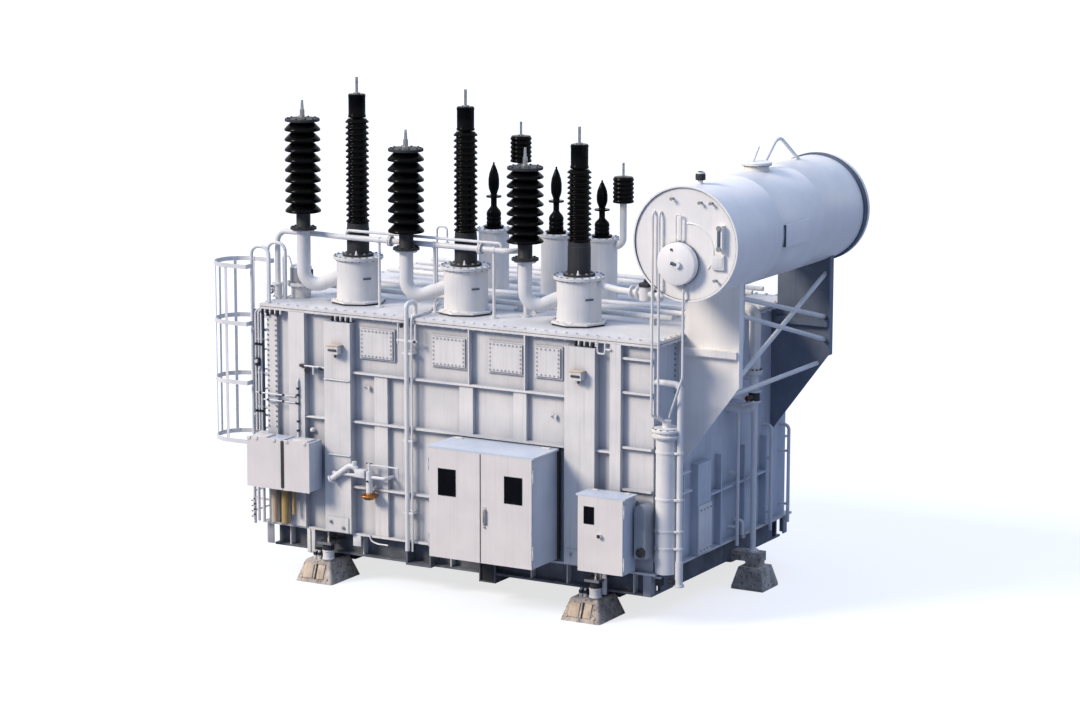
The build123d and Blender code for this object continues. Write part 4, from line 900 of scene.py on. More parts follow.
    def low_voltage(self) -> None:
        """The candle bushings with a disc and a pear-shaped top."""
        glaze = self.piece("lv_bushing_porcelain", "porcelain", replaces=["lv_bushings"])
        for x, height in zip(LV_XS, self.lv_heights):
            glaze.lathe((x, LV_Y, LV_TOP), [(r, share * height) for r, share in self.candle], steps=36)

    def neutral(self) -> None:
        """The ringed bushings on their stand pipes."""
        glaze = self.piece("neutral_bushing_porcelain", "porcelain", replaces=["neutral_bushings"])
        studs = self.piece("neutral_bushing_studs", "steel")
        top = self.ring_pitch * self.ring_count
        rings = [(r, i * self.ring_pitch + z) for i in range(self.ring_count) for r, z in self.neutral_ring]
        for x, y, seat in self.neutral_places:
            glaze.lathe((x, y, seat), [(0, 0), *rings, (120, top), (0, top)], steps=40)
            studs.lathe((x, y, seat + top), self.neutral_stud, steps=16)


# Conservator


@dataclass
class Conservator(Assembly):
    """The round oil drum at the right end with its end plates, seams and fittings."""

    front: float = -2060.0
    length: float = 3960.0
    rim: float = 752.0
    seams: tuple[float, float] = (0.33, 0.66)
    manway_x: float = 3420.0
    manway_z: float = 4860.0
    lid: Outline = ((0, -30), (235, -30), (235, 18), (275, 22), (275, 92), (268, 110), (250, 120), (0, 124))
    arc_x: float = 3540.0
    arc_z: float = 5030.0
    arc_radius: float = 350.0

    def makers(self) -> Makers:
        """The shell's, the ends' and the manway's makers."""
        return self.shell, self.ends, self.manway

    def shell(self) -> None:
        """The rolled shell with two ring seams."""
        r, wall = DRUM_RADIUS, 12
        outline = [(r - wall, 0), (r, 0)]
        for seam in self.seams:
            y = self.length * seam
            outline += [(r, y - 6), (r + 3, y), (r, y + 6)]
        outline += [(r, self.length), (r - wall, self.length), (r - wall, 0)]
        drum = self.piece("conservator_drum", "drum", replaces=["conservator_shell"])
        drum.lathe((DRUM_X, self.front, DRUM_Z), outline, Facing.REAR, 96)

    def ends(self) -> None:
        """The end plates, each in a proud rim ring, the dark joints between rings and shell, and a dark band
        of painted shade at the rear end's rim.
        """
        plates = self.piece("conservator_ends", "drum",
                            replaces=["conservator_front_end", "conservator_rear_end"])
        joint = self.piece("conservator_joints", "rubber")
        rim_shade = self.piece("conservator_rear_painted_shade", "slate")
        r = self.rim
        front, rear = (DRUM_X, self.front, DRUM_Z), (DRUM_X, self.front + self.length, DRUM_Z)
        outline = [(0, 0), (r, 0), (r, 60), (r - 4, 64), (r - 24, 64), (r - 28, 60), (r - 30, 44),
                   (r - 50, 42), (400, 46), (0, 48)]
        plates.lathe(front, outline, Facing.FRONT, 96)
        plates.lathe(rear, outline, Facing.REAR, 96)
        joint.lathe(front, self.hoop(r - 31, r - 29.6, -43, -61), Facing.REAR, 96)
        joint.lathe(front, self.hoop(700, 738, 0, 9), Facing.REAR, 96)
        # Painted shade: a dark band round the rear end's rim
        rim_shade.lathe(rear, self.hoop(700, r - 3, 0, 96), Facing.FRONT, 96)

    def hoop(self, inner: float, outer: float, low: float, high: float) -> list[tuple[float, float]]:
        """A square hoop's outline, from its two radii and two heights."""
        return [(inner, low), (outer, low), (outer, high), (inner, high), (inner, low)]

    def manway(self) -> None:
        """The access cover: neck, pressed lid, the joint behind it, its knob and the welded arc."""
        lid = self.piece("manway_lid", "drum", replaces=["manway_cover"])
        dark = self.piece("manway_joint", "slate")
        weld = self.piece("manway_arc", "drum")
        x, y, z = self.manway_x, self.front - 68, self.manway_z
        lid.lathe((x, y, z), self.lid, Facing.FRONT, 64)
        dark.lathe((x, y, z), self.hoop(235, 281, 6, 21), Facing.FRONT, 64)
        face = y - 124
        lid.rod((x + 36, face + 4, z + 4), (x + 36, face - 40, z + 4), 44, 24)
        dark.rod((x - 50, face - 26, z + 16), (x + 30, face - 26, z + 2), 24, 16)
        dark.rod((x - 56, face + 4, z + 190), (x - 56, face - 14, z + 190), 16, 12)
        turns = [math.radians(96 - 9 * i) for i in range(16)]
        r = self.arc_radius
        arc = [(self.arc_x + r * math.cos(a), y + 22, self.arc_z + r * math.sin(a)) for a in turns]
        weld.pipe(arc, 13, 20, 8)


# Small fittings


@dataclass
class WallGear(Assembly):
    """Clamps, lugs, conduits and valves on the front wall."""

    rim_y: float = -2078.0
    strip_xs: tuple[float, float] = (-2968.0, -2838.0)
    strip_y: float = 2060.0
    strip_zs: tuple[float, float] = (2080.0, 3640.0)
    clamp_starts: tuple[float, ...] = (-3040.0, -1890.0, 1890.0)
    clamp_pitch: float = 84.0
    clamp_drops: tuple[float, ...] = (74.0, 96.0, 66.0, 88.0)
    column_middles: tuple[float, float] = (-1790.0, 1975.0)
    left_conduits: tuple[float, ...] = (-3092.0, -3138.0, -3186.0)
    tray_x: tuple[float, float] = (-3206.0, -3058.0)
    boss_places: tuple[tuple[float, float], ...] = ((1560.0, 2640.0), (-1345.0, 2745.0))
    bracket_y: float = -2132.0
    loop_y: float = -2112.0
    drain_y: float = -2190.0
    drain_z: float = 1560.0

    def makers(self) -> Makers:
        """The front wall's makers, from the left corner to the right and down."""
        return (self.strip_bolts, self.rim_clamps, self.column_hooks, self.conduits, self.conduit_tray,
                self.pillar_valve, self.riser_bracket, self.bosses, self.loop, self.drain, self.ledges,
                self.doubler_lugs)

    def strip_bolts(self) -> None:
        """The two rows of bolts up the narrow pillar, on both long walls."""
        bolts = self.piece("pillar_bolts", "zinc")
        low, high = self.strip_zs
        for side, facing in SIDES:
            for x in self.strip_xs:
                bolts.bolt_line((x, side * self.strip_y, low), (x, side * self.strip_y, high), facing, 72, 15)

    def rim_clamps(self) -> None:
        """The clamps under the rim above the columns and at the left corner, with pale ones between."""
        dark, pale = self.piece("rim_clamps", "dark"), self.piece("rim_clips", "gear")
        y, z = self.rim_y, RIM_LOW
        for start in self.clamp_starts:
            for i, drop in enumerate(self.clamp_drops):
                x = start + i * self.clamp_pitch
                dark.box((x - 11, y - 22, z - drop), (x + 11, y + 14, z), 3)
                dark.rod((x, y - 24, z - 44), (x, y - 38, z - 44), 12, 6)
                pale.box((x + 34, y - 16, z - 58), (x + 54, y + 14, z), 3)

    def column_hooks(self) -> None:
        """The hook and pin below the lug on each column."""
        plates, dark = self.piece("column_lug_plates", "beige"), self.piece("column_hooks", "dark")
        y = COLUMN_Y - 70
        for x in self.column_middles:
            plates.box((x - 95, COLUMN_Y - 128, 3328), (x + 95, COLUMN_Y, 3342), 2)
            dark.post(x + 40, y, 3220, 3234, 26, 10)
            dark.rod((x + 40, y, 3225), (x + 40, y - 44, 3180), 12, 8)
            dark.rod((x - 60, y - 55, 3275), (x + 66, y - 55, 3275), 14, 8)

    def conduits(self) -> None:
        """The thin upright conduits at the left corner with their clamps, and the rods across the pillar."""
        pale, dark = self.piece("corner_conduits", "gear"), self.piece("conduit_clamps", "dark")
        y = WALL_Y - 40
        for x in self.left_conduits:
            pale.pipe([(x, y, 1990), (x, y, 3660), (x + 60, y + 60, 3716)], 15, 40, 10)
            for z in (2250, 3190):
                dark.post(x, y, z, z + 34, 19, 10)
        for z in (2310, 2790, 3260):
            pale.box((-3200, y + 8, z), (-2986, y + 22, z + 30), 2)
        y = -self.strip_y - 62
        for x0, z in ((-3138, 2543), (-3012, 2455)):
            pale.rod((x0, y, z), (-2460, y, z), 10, 10)
            for x in (x0 + 60, -2700, -2480):
                dark.rod((x, y, z), (x + 34, y, z), 17, 10)
        x, y = -2440, self.bracket_y
        pale.pipe([(x, y, 1985), (x, y, 2760), (x, y + 27, 2800)], 13, 20, 10)
        for z in (2060, 2190, 2440, 2560, 2650):
            dark.post(x, y, z, z + 26, 21, 10)
        y = WALL_Y - 92
        dark.box((-3168, y, 2905), (-3104, y + 52, 3020), 5)
        pale.rod((-3136, y, 2975), (-3136, y - 26, 2975), 24, 14)
        pale.post(-3110, y + 26, 2905, 2860, 16, 12)

    def conduit_tray(self) -> None:
        """The folded tray behind the corner conduits."""
        tray = self.piece("conduit_tray", "slate")
        (x0, x1), back, low, high = self.tray_x, WALL_Y - 8, 1990, 3690
        tray.box((x0, back - 8, low), (x1, back, high), 1)
        for x in (x0, x1 - 4):
            tray.box((x, back - 38, low), (x + 4, back, high), 1)

    def pillar_valve(self) -> None:
        """The small valve between the pillar and the left column, with its pipe and wheel."""
        pale, dark = self.piece("pillar_valve_pipe", "gear"), self.piece("pillar_valve", "dark")
        x, y, z, top = -2265, -2128, 2935, 2990
        pale.rod((-2345, y, top), (-2000, y, top), 13, 10)
        pale.post(-2180, y, 2880, top, 16, 10)
        dark.rod((-2400, y, top), (-2330, y, top), 22, 10)
        wheel = [(20, 0), (46, 4), (50, 12), (46, 20), (20, 16), (20, 0)]
        dark.lathe((x, y - 12, z), wheel, Facing.FRONT, 24)
        dark.rod((x, y, z), (x, y - 37, z), 18, 10)
        dark.post(x, y, z, top, 14, 8)
        dark.rod((-2090, y, 2975), (-2040, y, 2975), 24, 10)

    def riser_bracket(self) -> None:
        """The bracket with two short conduits beside the riser, and the conduit that runs on to the cover."""
        pale, dark = self.piece("riser_bracket", "gear"), self.piece("riser_bracket_fittings", "dark")
        y = self.bracket_y
        pale.box((-838, y - 8, 3470), (-512, y + 8, 3500), 2)
        for x in (-812, -540):
            pale.post(x, y, 3440, 3716, 13, 10)
        dark.post(-760, y, 3660, 3716, 24, 10)
        dark.rod((-548, y - 28, 3485), (-548, y + 12, 3485), 18, 10)
        x, y, z = -604, y + 5, 3812
        pale.pipe([(x, y, 3340), (x, y, z), (x, -2000, z), (-648, -1586, z), (-898, -923, z)], 14, 40, 10)

    def bosses(self) -> None:
        """The earthing bosses: a stud beside a drilled tab."""
        pale, studs = self.piece("earthing_bosses", "gear"), self.piece("earthing_studs", "zinc")
        y = WALL_Y
        for x, z in self.boss_places:
            pale.box((x - 14, y - 46, z - 26), (x + 14, y, z + 34), 3)
            pale.rod((x - 56, y, z + 18), (x - 56, y - 30, z + 18), 22, 14)
            studs.rod((x - 56, y - 30, z + 18), (x - 56, y - 46, z + 18), 11, 8)
            studs.rod((x + 16, y - 26, z), (x + 14, y - 26, z), 9, 10)

    def loop(self) -> None:
        """The small pipe loop under the rim beside the right column."""
        loop = self.piece("rim_loop", "gear")
        x0, x1, y = 2226, 2336, self.loop_y
        loop.pipe([(x0, y, 3716), (x0, y, 3578), (x1, y, 3578), (x1, y, 3716)], 13, 30, 10)
        loop.rod((x1, y, 3640), (2420, y, 3640), 13, 10)

    def drain(self) -> None:
        """The drain valve's elbow, block, wheel, stem and bronze foot."""
        pale, dark = self.piece("drain_valve_pipes", "gear"), self.piece("drain_valve_stem", "dark")
        bronze = self.piece("drain_valve_foot", "bronze")
        x, y, z = -1252, self.drain_y, self.drain_z
        arm = y - 20
        elbow = [(-1840, arm, z - 78), (-1560, arm, z + 124), (-1470, arm, z + 124), (-1420, y, z + 20)]
        pale.pipe(elbow, 40, 50, 14)
        pale.rod((-1862, arm, z - 94), (-1840, arm, z - 78), 62, 16)
        pale.box((-1452, y - 62, z - 12), (-1300, y + 46, z + 96), 6)
        pale.post(-1480, arm, z + 150, z + 196, 34, 14)
        pale.post(x, y, z - 240, z + 196, 20, 12)
        pale.rod((x, y, z + 170), (-780, y, z + 170), 12, 10)
        pale.pipe([(-790, y, z + 176), (-820, y + 60, z - 40), (-820, y + 120, z - 40)], 9, 30, 8)
        dark.rod((x - 48, y, z + 190), (x + 48, y, z + 190), 9, 8)
        dark.rod((x, y - 34, z - 50), (x, y - 66, z - 50), 14, 8)
        foot = [(0, 0), (60, 0), (118, 44), (124, 56), (118, 66), (52, 72), (46, 96), (0, 96)]
        bronze.lathe((x, y, z - 312), foot, steps=28)

    def ledges(self) -> None:
        """The welded thin ledge of the left bay, those across the left column, and a pale round plug."""
        pale = self.piece("left_bay_ledges", "gear")
        pale.box((-2340, WALL_Y - 93, 2264), (-2000, WALL_Y + 2, 2282), 2)
        pale.rod((-2338, WALL_Y - 3, 2264), (-2002, WALL_Y - 3, 2264), 6, 6)
        for low, z in ((-2000, 2838), (-1925, 1796)):
            pale.box((low, COLUMN_Y - 24, z), (-1580, COLUMN_Y + 2, z + 14), 2)
        end = [(0, 0), (34, 0), (34, 44), (26, 60), (12, 68), (0, 70)]
        pale.lathe((-2268, WALL_Y, 2083), end, Facing.FRONT, 20)

    def doubler_lugs(self) -> None:
        """The two bosses on the doubler plate at each column's foot."""
        bosses = self.piece("doubler_bosses", "grey")
        for middle in self.column_middles:
            for x, z in ((middle - 110, 860), (middle + 90, 790)):
                for start, end, radius, sides in ((12, 34, 20, 14), (34, 46, 11, 8)):
                    bosses.rod((x, COLUMN_Y - start, z), (x, COLUMN_Y - end, z), radius, sides)


@dataclass
class CoverGear(Assembly):
    """Stands, joints and valves of the pipes above the cover."""

    pipe_y: float = -1530.0
    pipe_z: float = 4715.0
    stand_xs: tuple[float, ...] = (-1480.0, -600.0, 330.0)
    joint_xs: tuple[float, ...] = (-1300.0, 120.0)
    relief: tuple[float, float] = (-2880.0, -1360.0)
    left_leg: tuple[float, float] = (-3180.0, -1480.0)
    relay_z: float = 4294.0
    relay_start: tuple[float, float] = (2136.0, -1330.0)
    relay_slope: float = -150 / 764

    def makers(self) -> Makers:
        """The cover's makers, from the collecting pipe to the relay."""
        return self.stands, self.relief_fittings, self.left_valve, self.relay_fittings

    def stands(self) -> None:
        """The posts and pipe clips under the collecting pipe, and its flanged joints."""
        stands, bolts = self.piece("pipe_stands", "gear"), self.piece("pipe_joint_bolts", "zinc")
        y, z = self.pipe_y, self.pipe_z
        for x in self.stand_xs:
            stands.post(x, y, COVER_TOP, z - 30, 20, 12)
            stands.post(x, y, COVER_TOP, COVER_TOP + 14, 56, 16)
            stands.rod((x - 22, y, z), (x + 22, y, z), 45, 20)
        for x in self.joint_xs:
            for step in (-24, 4):
                stands.rod((x + step, y, z), (x + step + 20, y, z), 74, 24)
            bolts.bolt_ring((x + 24, y, z), Facing.RIGHT, 58, 8, 12)
        x0, x1, y, top, end = -1063, -900, -700, 4833, 4560
        stands.pipe([(x0, y, COVER_TOP), (x0, y, top), (x1, y, top), (x1, y, end)], 15, 60, 10)
        stands.post(x1, y, end, end + 60, 34, 14)

    def relief_fittings(self) -> None:
        """The relief unit's flange bolts, grey upper cover, cap and switch box."""
        bolts, upper = self.piece("relief_bolts", "zinc"), self.piece("relief_upper_cover", "grey")
        dark, cap = self.piece("relief_switch", "dark"), self.piece("relief_cap", "gear")
        (x, y), z = self.relief, COVER_TOP
        bolts.bolt_ring((x, y, z + 215), Facing.UP, 170, 12, 16)
        bolts.bolt_ring((x, y, z + 170), Facing.DOWN, 170, 12, 16)
        dark.box((x + 146, y - 34, z + 270), (x + 188, y + 34, z + 400), 5)
        upper.lathe((x, y, z), [(0, 222), (152, 222), (152, 414), (0, 414)])
        cap.lathe((x, y, z), [(0, 425), (118, 425), (150, 418), (154, 424), (150, 436), (0, 452)])

    def left_valve(self) -> None:
        """The valve on the collecting pipe's left leg, with its wheel."""
        body, wheel = self.piece("left_valve_body", "gear"), self.piece("left_valve_wheel", "dark")
        (x, y), z, rim = self.left_leg, 3880, self.left_leg[0] - 102
        for low in (z - 100, z + 80):
            body.post(x, y, low, low + 22, 78, 20)
        body.post(x, y, z - 80, z + 82, 56, 16)
        body.rod((x, y, z), (x - 96, y, z), 26, 14)
        hoop = [(44, 0), (58, 3), (62, 10), (58, 17), (44, 14), (44, 0)]
        wheel.lathe((x - 96, y, z), hoop, Facing.LEFT, 24)
        wheel.rod((rim, y - 50, z), (rim, y + 50, z), 6, 8)
        wheel.post(rim, y, z - 50, z + 50, 6, 8)
        x, top = -3095, 4370
        body.pipe([(x, y, 3792), (x, y, top), (-2990, y, top), (-2927, y, 4180)], 11, 40, 10)

    def relay_fittings(self) -> None:
        """The relay's flanges, bolts and dark head on the pipe to the conservator."""
        pale, dark = self.piece("relay_flanges", "gear"), self.piece("relay_head", "dark")
        z = self.relay_z
        for x in (2330, 2430, 2700, 2790):
            y = self.relay_start[1] + self.relay_slope * (x - self.relay_start[0])
            pale.rod((x, y, z), (x + 22, y - 4, z), 82, 20)
        dark.box((2500, -1500, z + 92), (2640, -1330, z + 150), 8)
        dark.post(2570, -1420, z + 150, z + 190, 34, 14)
        dark.post(2735, -1450, z + 20, z + 130, 22, 12)
        dark.rod((2690, -1450, z + 130), (2780, -1450, z + 130), 12, 8)


@dataclass
class DrumGear(Assembly):
    """Small fittings on the conservator."""

    face: float = -2130.0
    hatch_y: float = -60.0
    cap_y: float = -1700.0
    stud_places: tuple[tuple[float, float], ...] = (
        (3310.0, 5683.0), (3709.0, 5659.0), (3864.0, 5660.0), (3933.0, 4676.0))
    gauge_out: float = 512.0
    gauge_zs: tuple[float, float] = (5092.0, 5356.0)
    cap: Outline = ((0, 52), (62, 52), (66, 60), (66, 120), (50, 152), (24, 164), (0, 166))
    gasket: Outline = ((168, 62), (200, 62), (200, 71), (168, 71), (168, 62))
    lid: Outline = ((0, 90), (206, 90), (212, 96), (206, 108), (150, 116), (0, 120))

    def makers(self) -> Makers:
        """The conservator's makers, from its front end to its side."""
        return self.end_fittings, self.top_fittings, self.side_fittings

    def end_fittings(self) -> None:
        """The studs on the end plate, the gauge's glass and its flanges."""
        studs, glass = self.piece("end_plate_studs", "zinc"), self.piece("gauge_glass", "slate")
        lid = self.piece("end_plate_box_lid", "gear")
        for x, z in self.stud_places:
            studs.rod((x, self.face + 40, z), (x, self.face - 34, z), 15, 12)
            studs.rod((x, self.face - 34, z), (x, self.face - 46, z), 24, 6)
        x = DRUM_X + self.gauge_out
        low, high = self.gauge_zs
        glass.box((x - 22, -2196, low + 8), (x + 22, -2188, high + 6), 3)
        for z in self.gauge_zs:
            studs.rod((x, -2186, z), (x, -2204, z), 34, 18)
        lid.box((3890, -2156, 4832), (4038, -2148, 4984), 4)
        lid.post(3900, -1214, 4560, 4640, 26, 12)

    def top_fittings(self) -> None:
        """The black breather cap, a dark rubber ring of painted shadow under the hatch's lid, and the pressed
        lid.
        """
        cap, shadow_seal = self.piece("breather_cap", "dark"), self.piece("hatch_painted_shadow", "rubber")
        lid = self.piece("hatch_lid", "drum")
        top = DRUM_Z + DRUM_RADIUS
        cap.lathe((DRUM_X, self.cap_y, top), self.cap, steps=28)
        # Painted shadow: a dark rubber ring under the lid's edge
        shadow_seal.lathe((DRUM_X, self.hatch_y, top), self.gasket)
        lid.lathe((DRUM_X, self.hatch_y, top), self.lid, steps=48)
        lid.rod((DRUM_X, self.hatch_y - 110, top + 116), (DRUM_X, self.hatch_y + 60, top + 300), 17, 12)

    def side_fittings(self) -> None:
        """The blank plate on the shell's side and the box at its left."""
        pale, edge = self.piece("drum_side_fittings", "drum"), self.piece("drum_plate_edge", "slate")
        pale.box((4222, -690, 4936), (4238, 40, 5232), 2)
        for y in (-600, -50):
            pale.box((4190, y - 30, 4990), (4224, y + 30, 5180))
        edge.box((4196, -704, 4940), (4236, -691, 5228))
        x, y = 2740, -1810
        pale.box((x - 50, y - 70, 4790), (x + 50, y + 70, 5270), 8)
        pale.post(x, y, 5270, 5330, 20, 12)
        pale.pipe([(x, y, 4790), (x, y, 4660), (2900, y, 4620)], 14, 40, 10)


@dataclass
class CornerGear(Assembly):
    """The filter's ring and clamps, the second upright pipe and the end wall's fittings."""

    filter_x: float = 3170.0
    corner_y: float = -1960.0
    filter_top: float = 2520.0
    pipe_x: float = 3364.0
    pipe_radius: float = 42.0
    clamp_zs: tuple[float, ...] = (1060.0, 1290.0, 1710.0, 2330.0)
    ring: Outline = ((140, 20), (192, 24), (196, 30), (196, 52), (192, 56), (165, 58), (165, 96), (196, 100),
                     (196, 126), (190, 130), (140, 132), (140, 20))
    filter_clamp: Outline = ((140, 0), (149, 2), (149, 28), (140, 30), (140, 0))
    pipe_clamp: Outline = ((42, 0), (54, 2), (54, 28), (42, 30), (42, 0))
    main_x: float = 3400.0
    main_y: float = 150.0

    def makers(self) -> Makers:
        """The corner's makers, from the filter to the main valve."""
        return self.filter_fittings, self.upright_pipe, self.end_wall, self.main_valve

    def filter_fittings(self) -> None:
        """The bolted ring, the lugs and the clamps that tie the filter to the upright pipe."""
        pale, bolts = self.piece("filter_fittings", "gear"), self.piece("filter_bolts", "zinc")
        x, y, z = self.filter_x, self.corner_y, self.filter_top
        pale.lathe((x, y, z), self.ring, steps=48)
        bolts.bolt_ring((x, y, z + 131), Facing.UP, 176, 12, 16)
        for lug_x in (x - 196, x + 196):
            pale.box((lug_x - 20, y - 26, z + 40), (lug_x + 20, y + 26, z + 170), 5)
        for clamp in self.clamp_zs:
            pale.lathe((x, y, clamp), self.filter_clamp)
            pale.box((x + 120, y - 60, clamp), (self.pipe_x, y - 44, clamp + 30), 2)
            pale.lathe((self.pipe_x, y, clamp), self.pipe_clamp, steps=24)
        for clamp in self.clamp_zs[:2]:
            bolts.rod((x - 60, y - 152, clamp + 15), (x - 60, y - 176, clamp + 15), 16, 8)

    def upright_pipe(self) -> None:
        """The second upright pipe beside the filter, with its foot flange."""
        pipe, dark = self.piece("corner_upright_pipe", "gear"), self.piece("corner_pipe_valve", "dark")
        x, y = self.pipe_x, self.corner_y
        pipe.pipe([(x, y, 580), (x, y, 3250), (3000, y, 3250)], self.pipe_radius, 90, 20)
        pipe.post(x, y, 566, 590, 72, 20)
        pipe.post(x, y, 590, 900, 52, 20)
        dark.rod((x - 60, y - 60, 640), (x - 60, y + 40, 640), 30, 12)
        dark.box((x - 130, y - 70, 600), (x - 60, y + 20, 660), 5)

    def end_wall(self) -> None:
        """The cover plate low on the end wall's column, its bolts, and the bolts near the corner."""
        plates, bolts = self.piece("end_wall_plates", "gear"), self.piece("end_wall_bolts", "zinc")
        plates.box((3108, -928, 736), (3134, -544, 1396), 4)
        for z in (790, 1340):
            bolts.bolt_line((3134, -880, z), (3134, -590, z), Facing.RIGHT, 96, 14)
        bolts.bolt_line((3000, -1420, 2950), (3000, -1420, 3680), Facing.RIGHT, 74, 18)
        for y, z in ((-1240, 1900), (-1200, 1630)):
            plates.box((3000, y - 150, z), (3090, y + 150, z + 26), 3)
        plates.post(3060, -1240, 900, 1900, 14, 10)
        x, y = 3130, 395
        plates.pipe([(x, y, 700), (x, y, 940), (3000, y, 940)], 26, 50, 14)
        bolts.post(x, y, 700, 740, 48, 14)

    def main_valve(self) -> None:
        """The pipe below the oil main's flange, its valve with a red lever, and the fittings round it."""
        pale, dark = self.piece("main_valve_body", "gear"), self.piece("main_valve", "dark")
        red = self.piece("main_valve_lever", "red")
        x, y, z = self.main_x, self.main_y, 2742
        pale.post(x, y, 3080, 3048, 108, 28)
        pale.pipe([(x, y, 3050), (x, y, 2560), (3000, y, 2560)], 62, 120, 20)
        dark.bolt_ring((x, y, 3105), Facing.UP, 94, 10, 16)
        for low in (2800, 2660):
            pale.post(x, y, low, low + 24, 98, 24)
        dark.post(x, y, 2684, 2800, 78, 20)
        dark.rod((x, 60, z), (x, -60, z), 34, 14)
        red.rod((x, -66, z), (x, -84, z), 30, 16)
        red.box((x - 12, -84, z - 42), (x + 12, -66, z + 44), 4)
        pale.rod((3330, -40, z), (3180, -40, z), 24, 12)
        pale.rod((3470, -10, 2690), (3300, -10, 2640), 22, 12)


@dataclass
class CabinetGear(Assembly):
    """Gaskets, latches, rubber strips and dark pieces of painted shade on the cabinets and boxes."""

    door_face: float = -2778.0
    drive_face: float = -2518.0
    box_face: float = -2448.0
    # A window's body, its door's face, its lowest corner, its width and its height
    windows: tuple[tuple[str, float, tuple[float, float], tuple[float, float]], ...] = (
        ("control_left_door", -2778.0, (200.0, 1600.0), (270.0, 360.0)),
        ("control_right_door", -2778.0, (1210.0, 1600.0), (270.0, 360.0)),
        ("drive_cabinet_door", -2518.0, (2254.8, 1400.0), (150.0, 230.0)))
    strip_names: tuple[str, ...] = (
        "control_left_door_strip", "control_right_door_strip", "drive_window_strip")
    body_x: tuple[float, float] = (26.0, 1654.0)
    body_rear: float = -2060.0
    body_z: tuple[float, float] = (750.0, 2220.0)
    motor: tuple[float, float, float] = (2968.0, -2262.0, 1040.0)
    duct_low: float = 760.0
    box_low: float = 1302.0

    def makers(self) -> Makers:
        """The cabinets' makers, from the doors to the terminal boxes."""
        return self.window_strips, self.doors, self.bodies, self.terminal_boxes

    def window_strips(self) -> None:
        """A rubber glazing strip round each window."""
        lip, cover, depth = 3, 4, 6
        for name, (body, face, (x, z), (w, h)) in zip(self.strip_names, self.windows):
            strip = self.piece(name, "rubber", body=body)
            out, back = face - 5, face + depth
            strip.box((x - lip, out, z - lip), (x + w + lip, back, z + cover), 2)
            strip.box((x - lip, out, z + h - cover), (x + w + lip, back, z + h + lip), 2)
            strip.box((x - lip, out, z + cover), (x + cover, back, z + h - cover), 2)
            strip.box((x + w - cover, out, z + cover), (x + w + lip, back, z + h - cover), 2)

    def doors(self) -> None:
        """The handle with its plate, the dark rubber strip behind the gap between the doors, partly painted
        shade for the gap, and the drive cabinet's knob.
        """
        handle = self.piece("control_door_handle", "zinc", body="control_right_door")
        shadow_seal = self.piece("control_door_seal_painted_shade", "rubber", body="control_right_door")
        knob = self.piece("drive_door_knob", "dark", body="drive_cabinet_door")
        face = self.door_face
        handle.box((890, face - 4, 1262), (942, face + 2, 1516), 3)
        handle.box((900, face - 40, 1296), (932, face - 22, 1488), 6)
        handle.rod((916, face, 1240), (916, face - 12, 1240), 15, 14)
        # A rubber strip behind the door gap, dark as painted shade in the gap
        shadow_seal.box((840.4, face - 3, 756), (852.4, face + 2, 2214))
        face = self.drive_face
        knob.rod((2494.8, face - 3, 1260), (2494.8, face - 47, 1260), 26, 24)

    def bodies(self) -> None:
        """The roof strips, the glands under the control cabinet, the dark frame behind it as painted shadow
        of the gap to the wall, and the motor's disc.
        """
        strips, dark = self.piece("cabinet_roof_strips", "cabinet"), self.piece("cabinet_glands_and_painted_shadow", "rubber")
        for x in (160, 1500):
            strips.box((x - 60, -2190, 2246), (x + 60, -2150, 2262), 3)
        for x in (2260, 2740):
            strips.box((x - 36, -2230, 1786), (x + 36, -2200, 1800), 3)
        (x0, x1), (low, high), rear = self.body_x, self.body_z, self.body_rear
        for i in range(7):
            dark.post(300 + i * 180, -2350, low, low - 50, 26, 12)
        # Painted shadow: dark posts and a strip fill the gap behind the cabinet and show above its roof
        for x in (x0, x1 - 28):
            dark.box((x, rear - 46, low), (x + 28, rear + 2, high + 26))
        dark.box((x0, rear, high - 10), (x1, rear + 16, high + 44))
        x, y, z = self.motor
        dark.rod((x, y, z), (x, y - 44, z), 62, 28)
        dark.rod((x, y - 44, z), (x, y - 56, z), 30, 20)

    def terminal_boxes(self) -> None:
        """The latches on the box lids, a dark block of painted shade in the gap between the boxes, and the
        ducts and valve below them.
        """
        latches = self.piece("terminal_box_latches", "cabinet")
        glands = self.piece("terminal_box_glands", "dark")
        sleeve, ochre = self.piece("terminal_box_sleeve", "beige"), self.piece("terminal_box_ducts", "ochre")
        gap = self.piece("terminal_box_gap_painted_shade", "rubber")
        face, low, end = self.box_face, self.box_low, self.duct_low
        for x in (-3040, -2920, -2630, -2420, -2130):
            latches.box((x - 22, face - 12, 1950), (x + 22, face + 4, 1996), 4)
        for x in (-2900, -2240):
            latches.box((x - 120, -2400, 1980), (x + 120, -2180, 2000), 5)
        for x in (-3060, -2975):
            latches.post(x, -2200, low, end - 15, 22, 12)
        sleeve.post(-2800, -2190, low, end, 50, 20)
        ochre.post(-2620, -2200, low, end, 54, 20)
        ochre.post(-2480, -2200, low, end + 140, 22, 14)
        for x, r in ((-3060, 32), (-2975, 32), (-2800, 64), (-2620, 68), (-2480, 32)):
            glands.post(x, -2195, low, low - 40, r, 16)
        # Painted shade: a dark block fills the gap between the boxes
        gap.box((-2522, face - 3, low + 16), (-2468, face + 44, 1976))
        self.hanging_valve(latches, glands)

    def hanging_valve(self, pale: Forge, dark: Forge) -> None:
        """The small valve that hangs at the left corner below the boxes.

        Args:
            pale: the mesh that its pipe and discs go into.
            dark: the mesh that its stems go into.
        """
        x, y = -3190, -2120
        pale.post(x, y, 1500, 730, 10, 8)
        pale.rod((x, y, 1490), (-3050, y, 1490), 10, 8)
        for z in (980, 905, 830, 755):
            pale.post(x, y, z, z + 34, 26, 10)
            dark.post(x, y, z + 34, z + 56, 16, 10)
            dark.rod((x, y, z + 17), (x - 46, y - 10, z + 17), 9, 8)


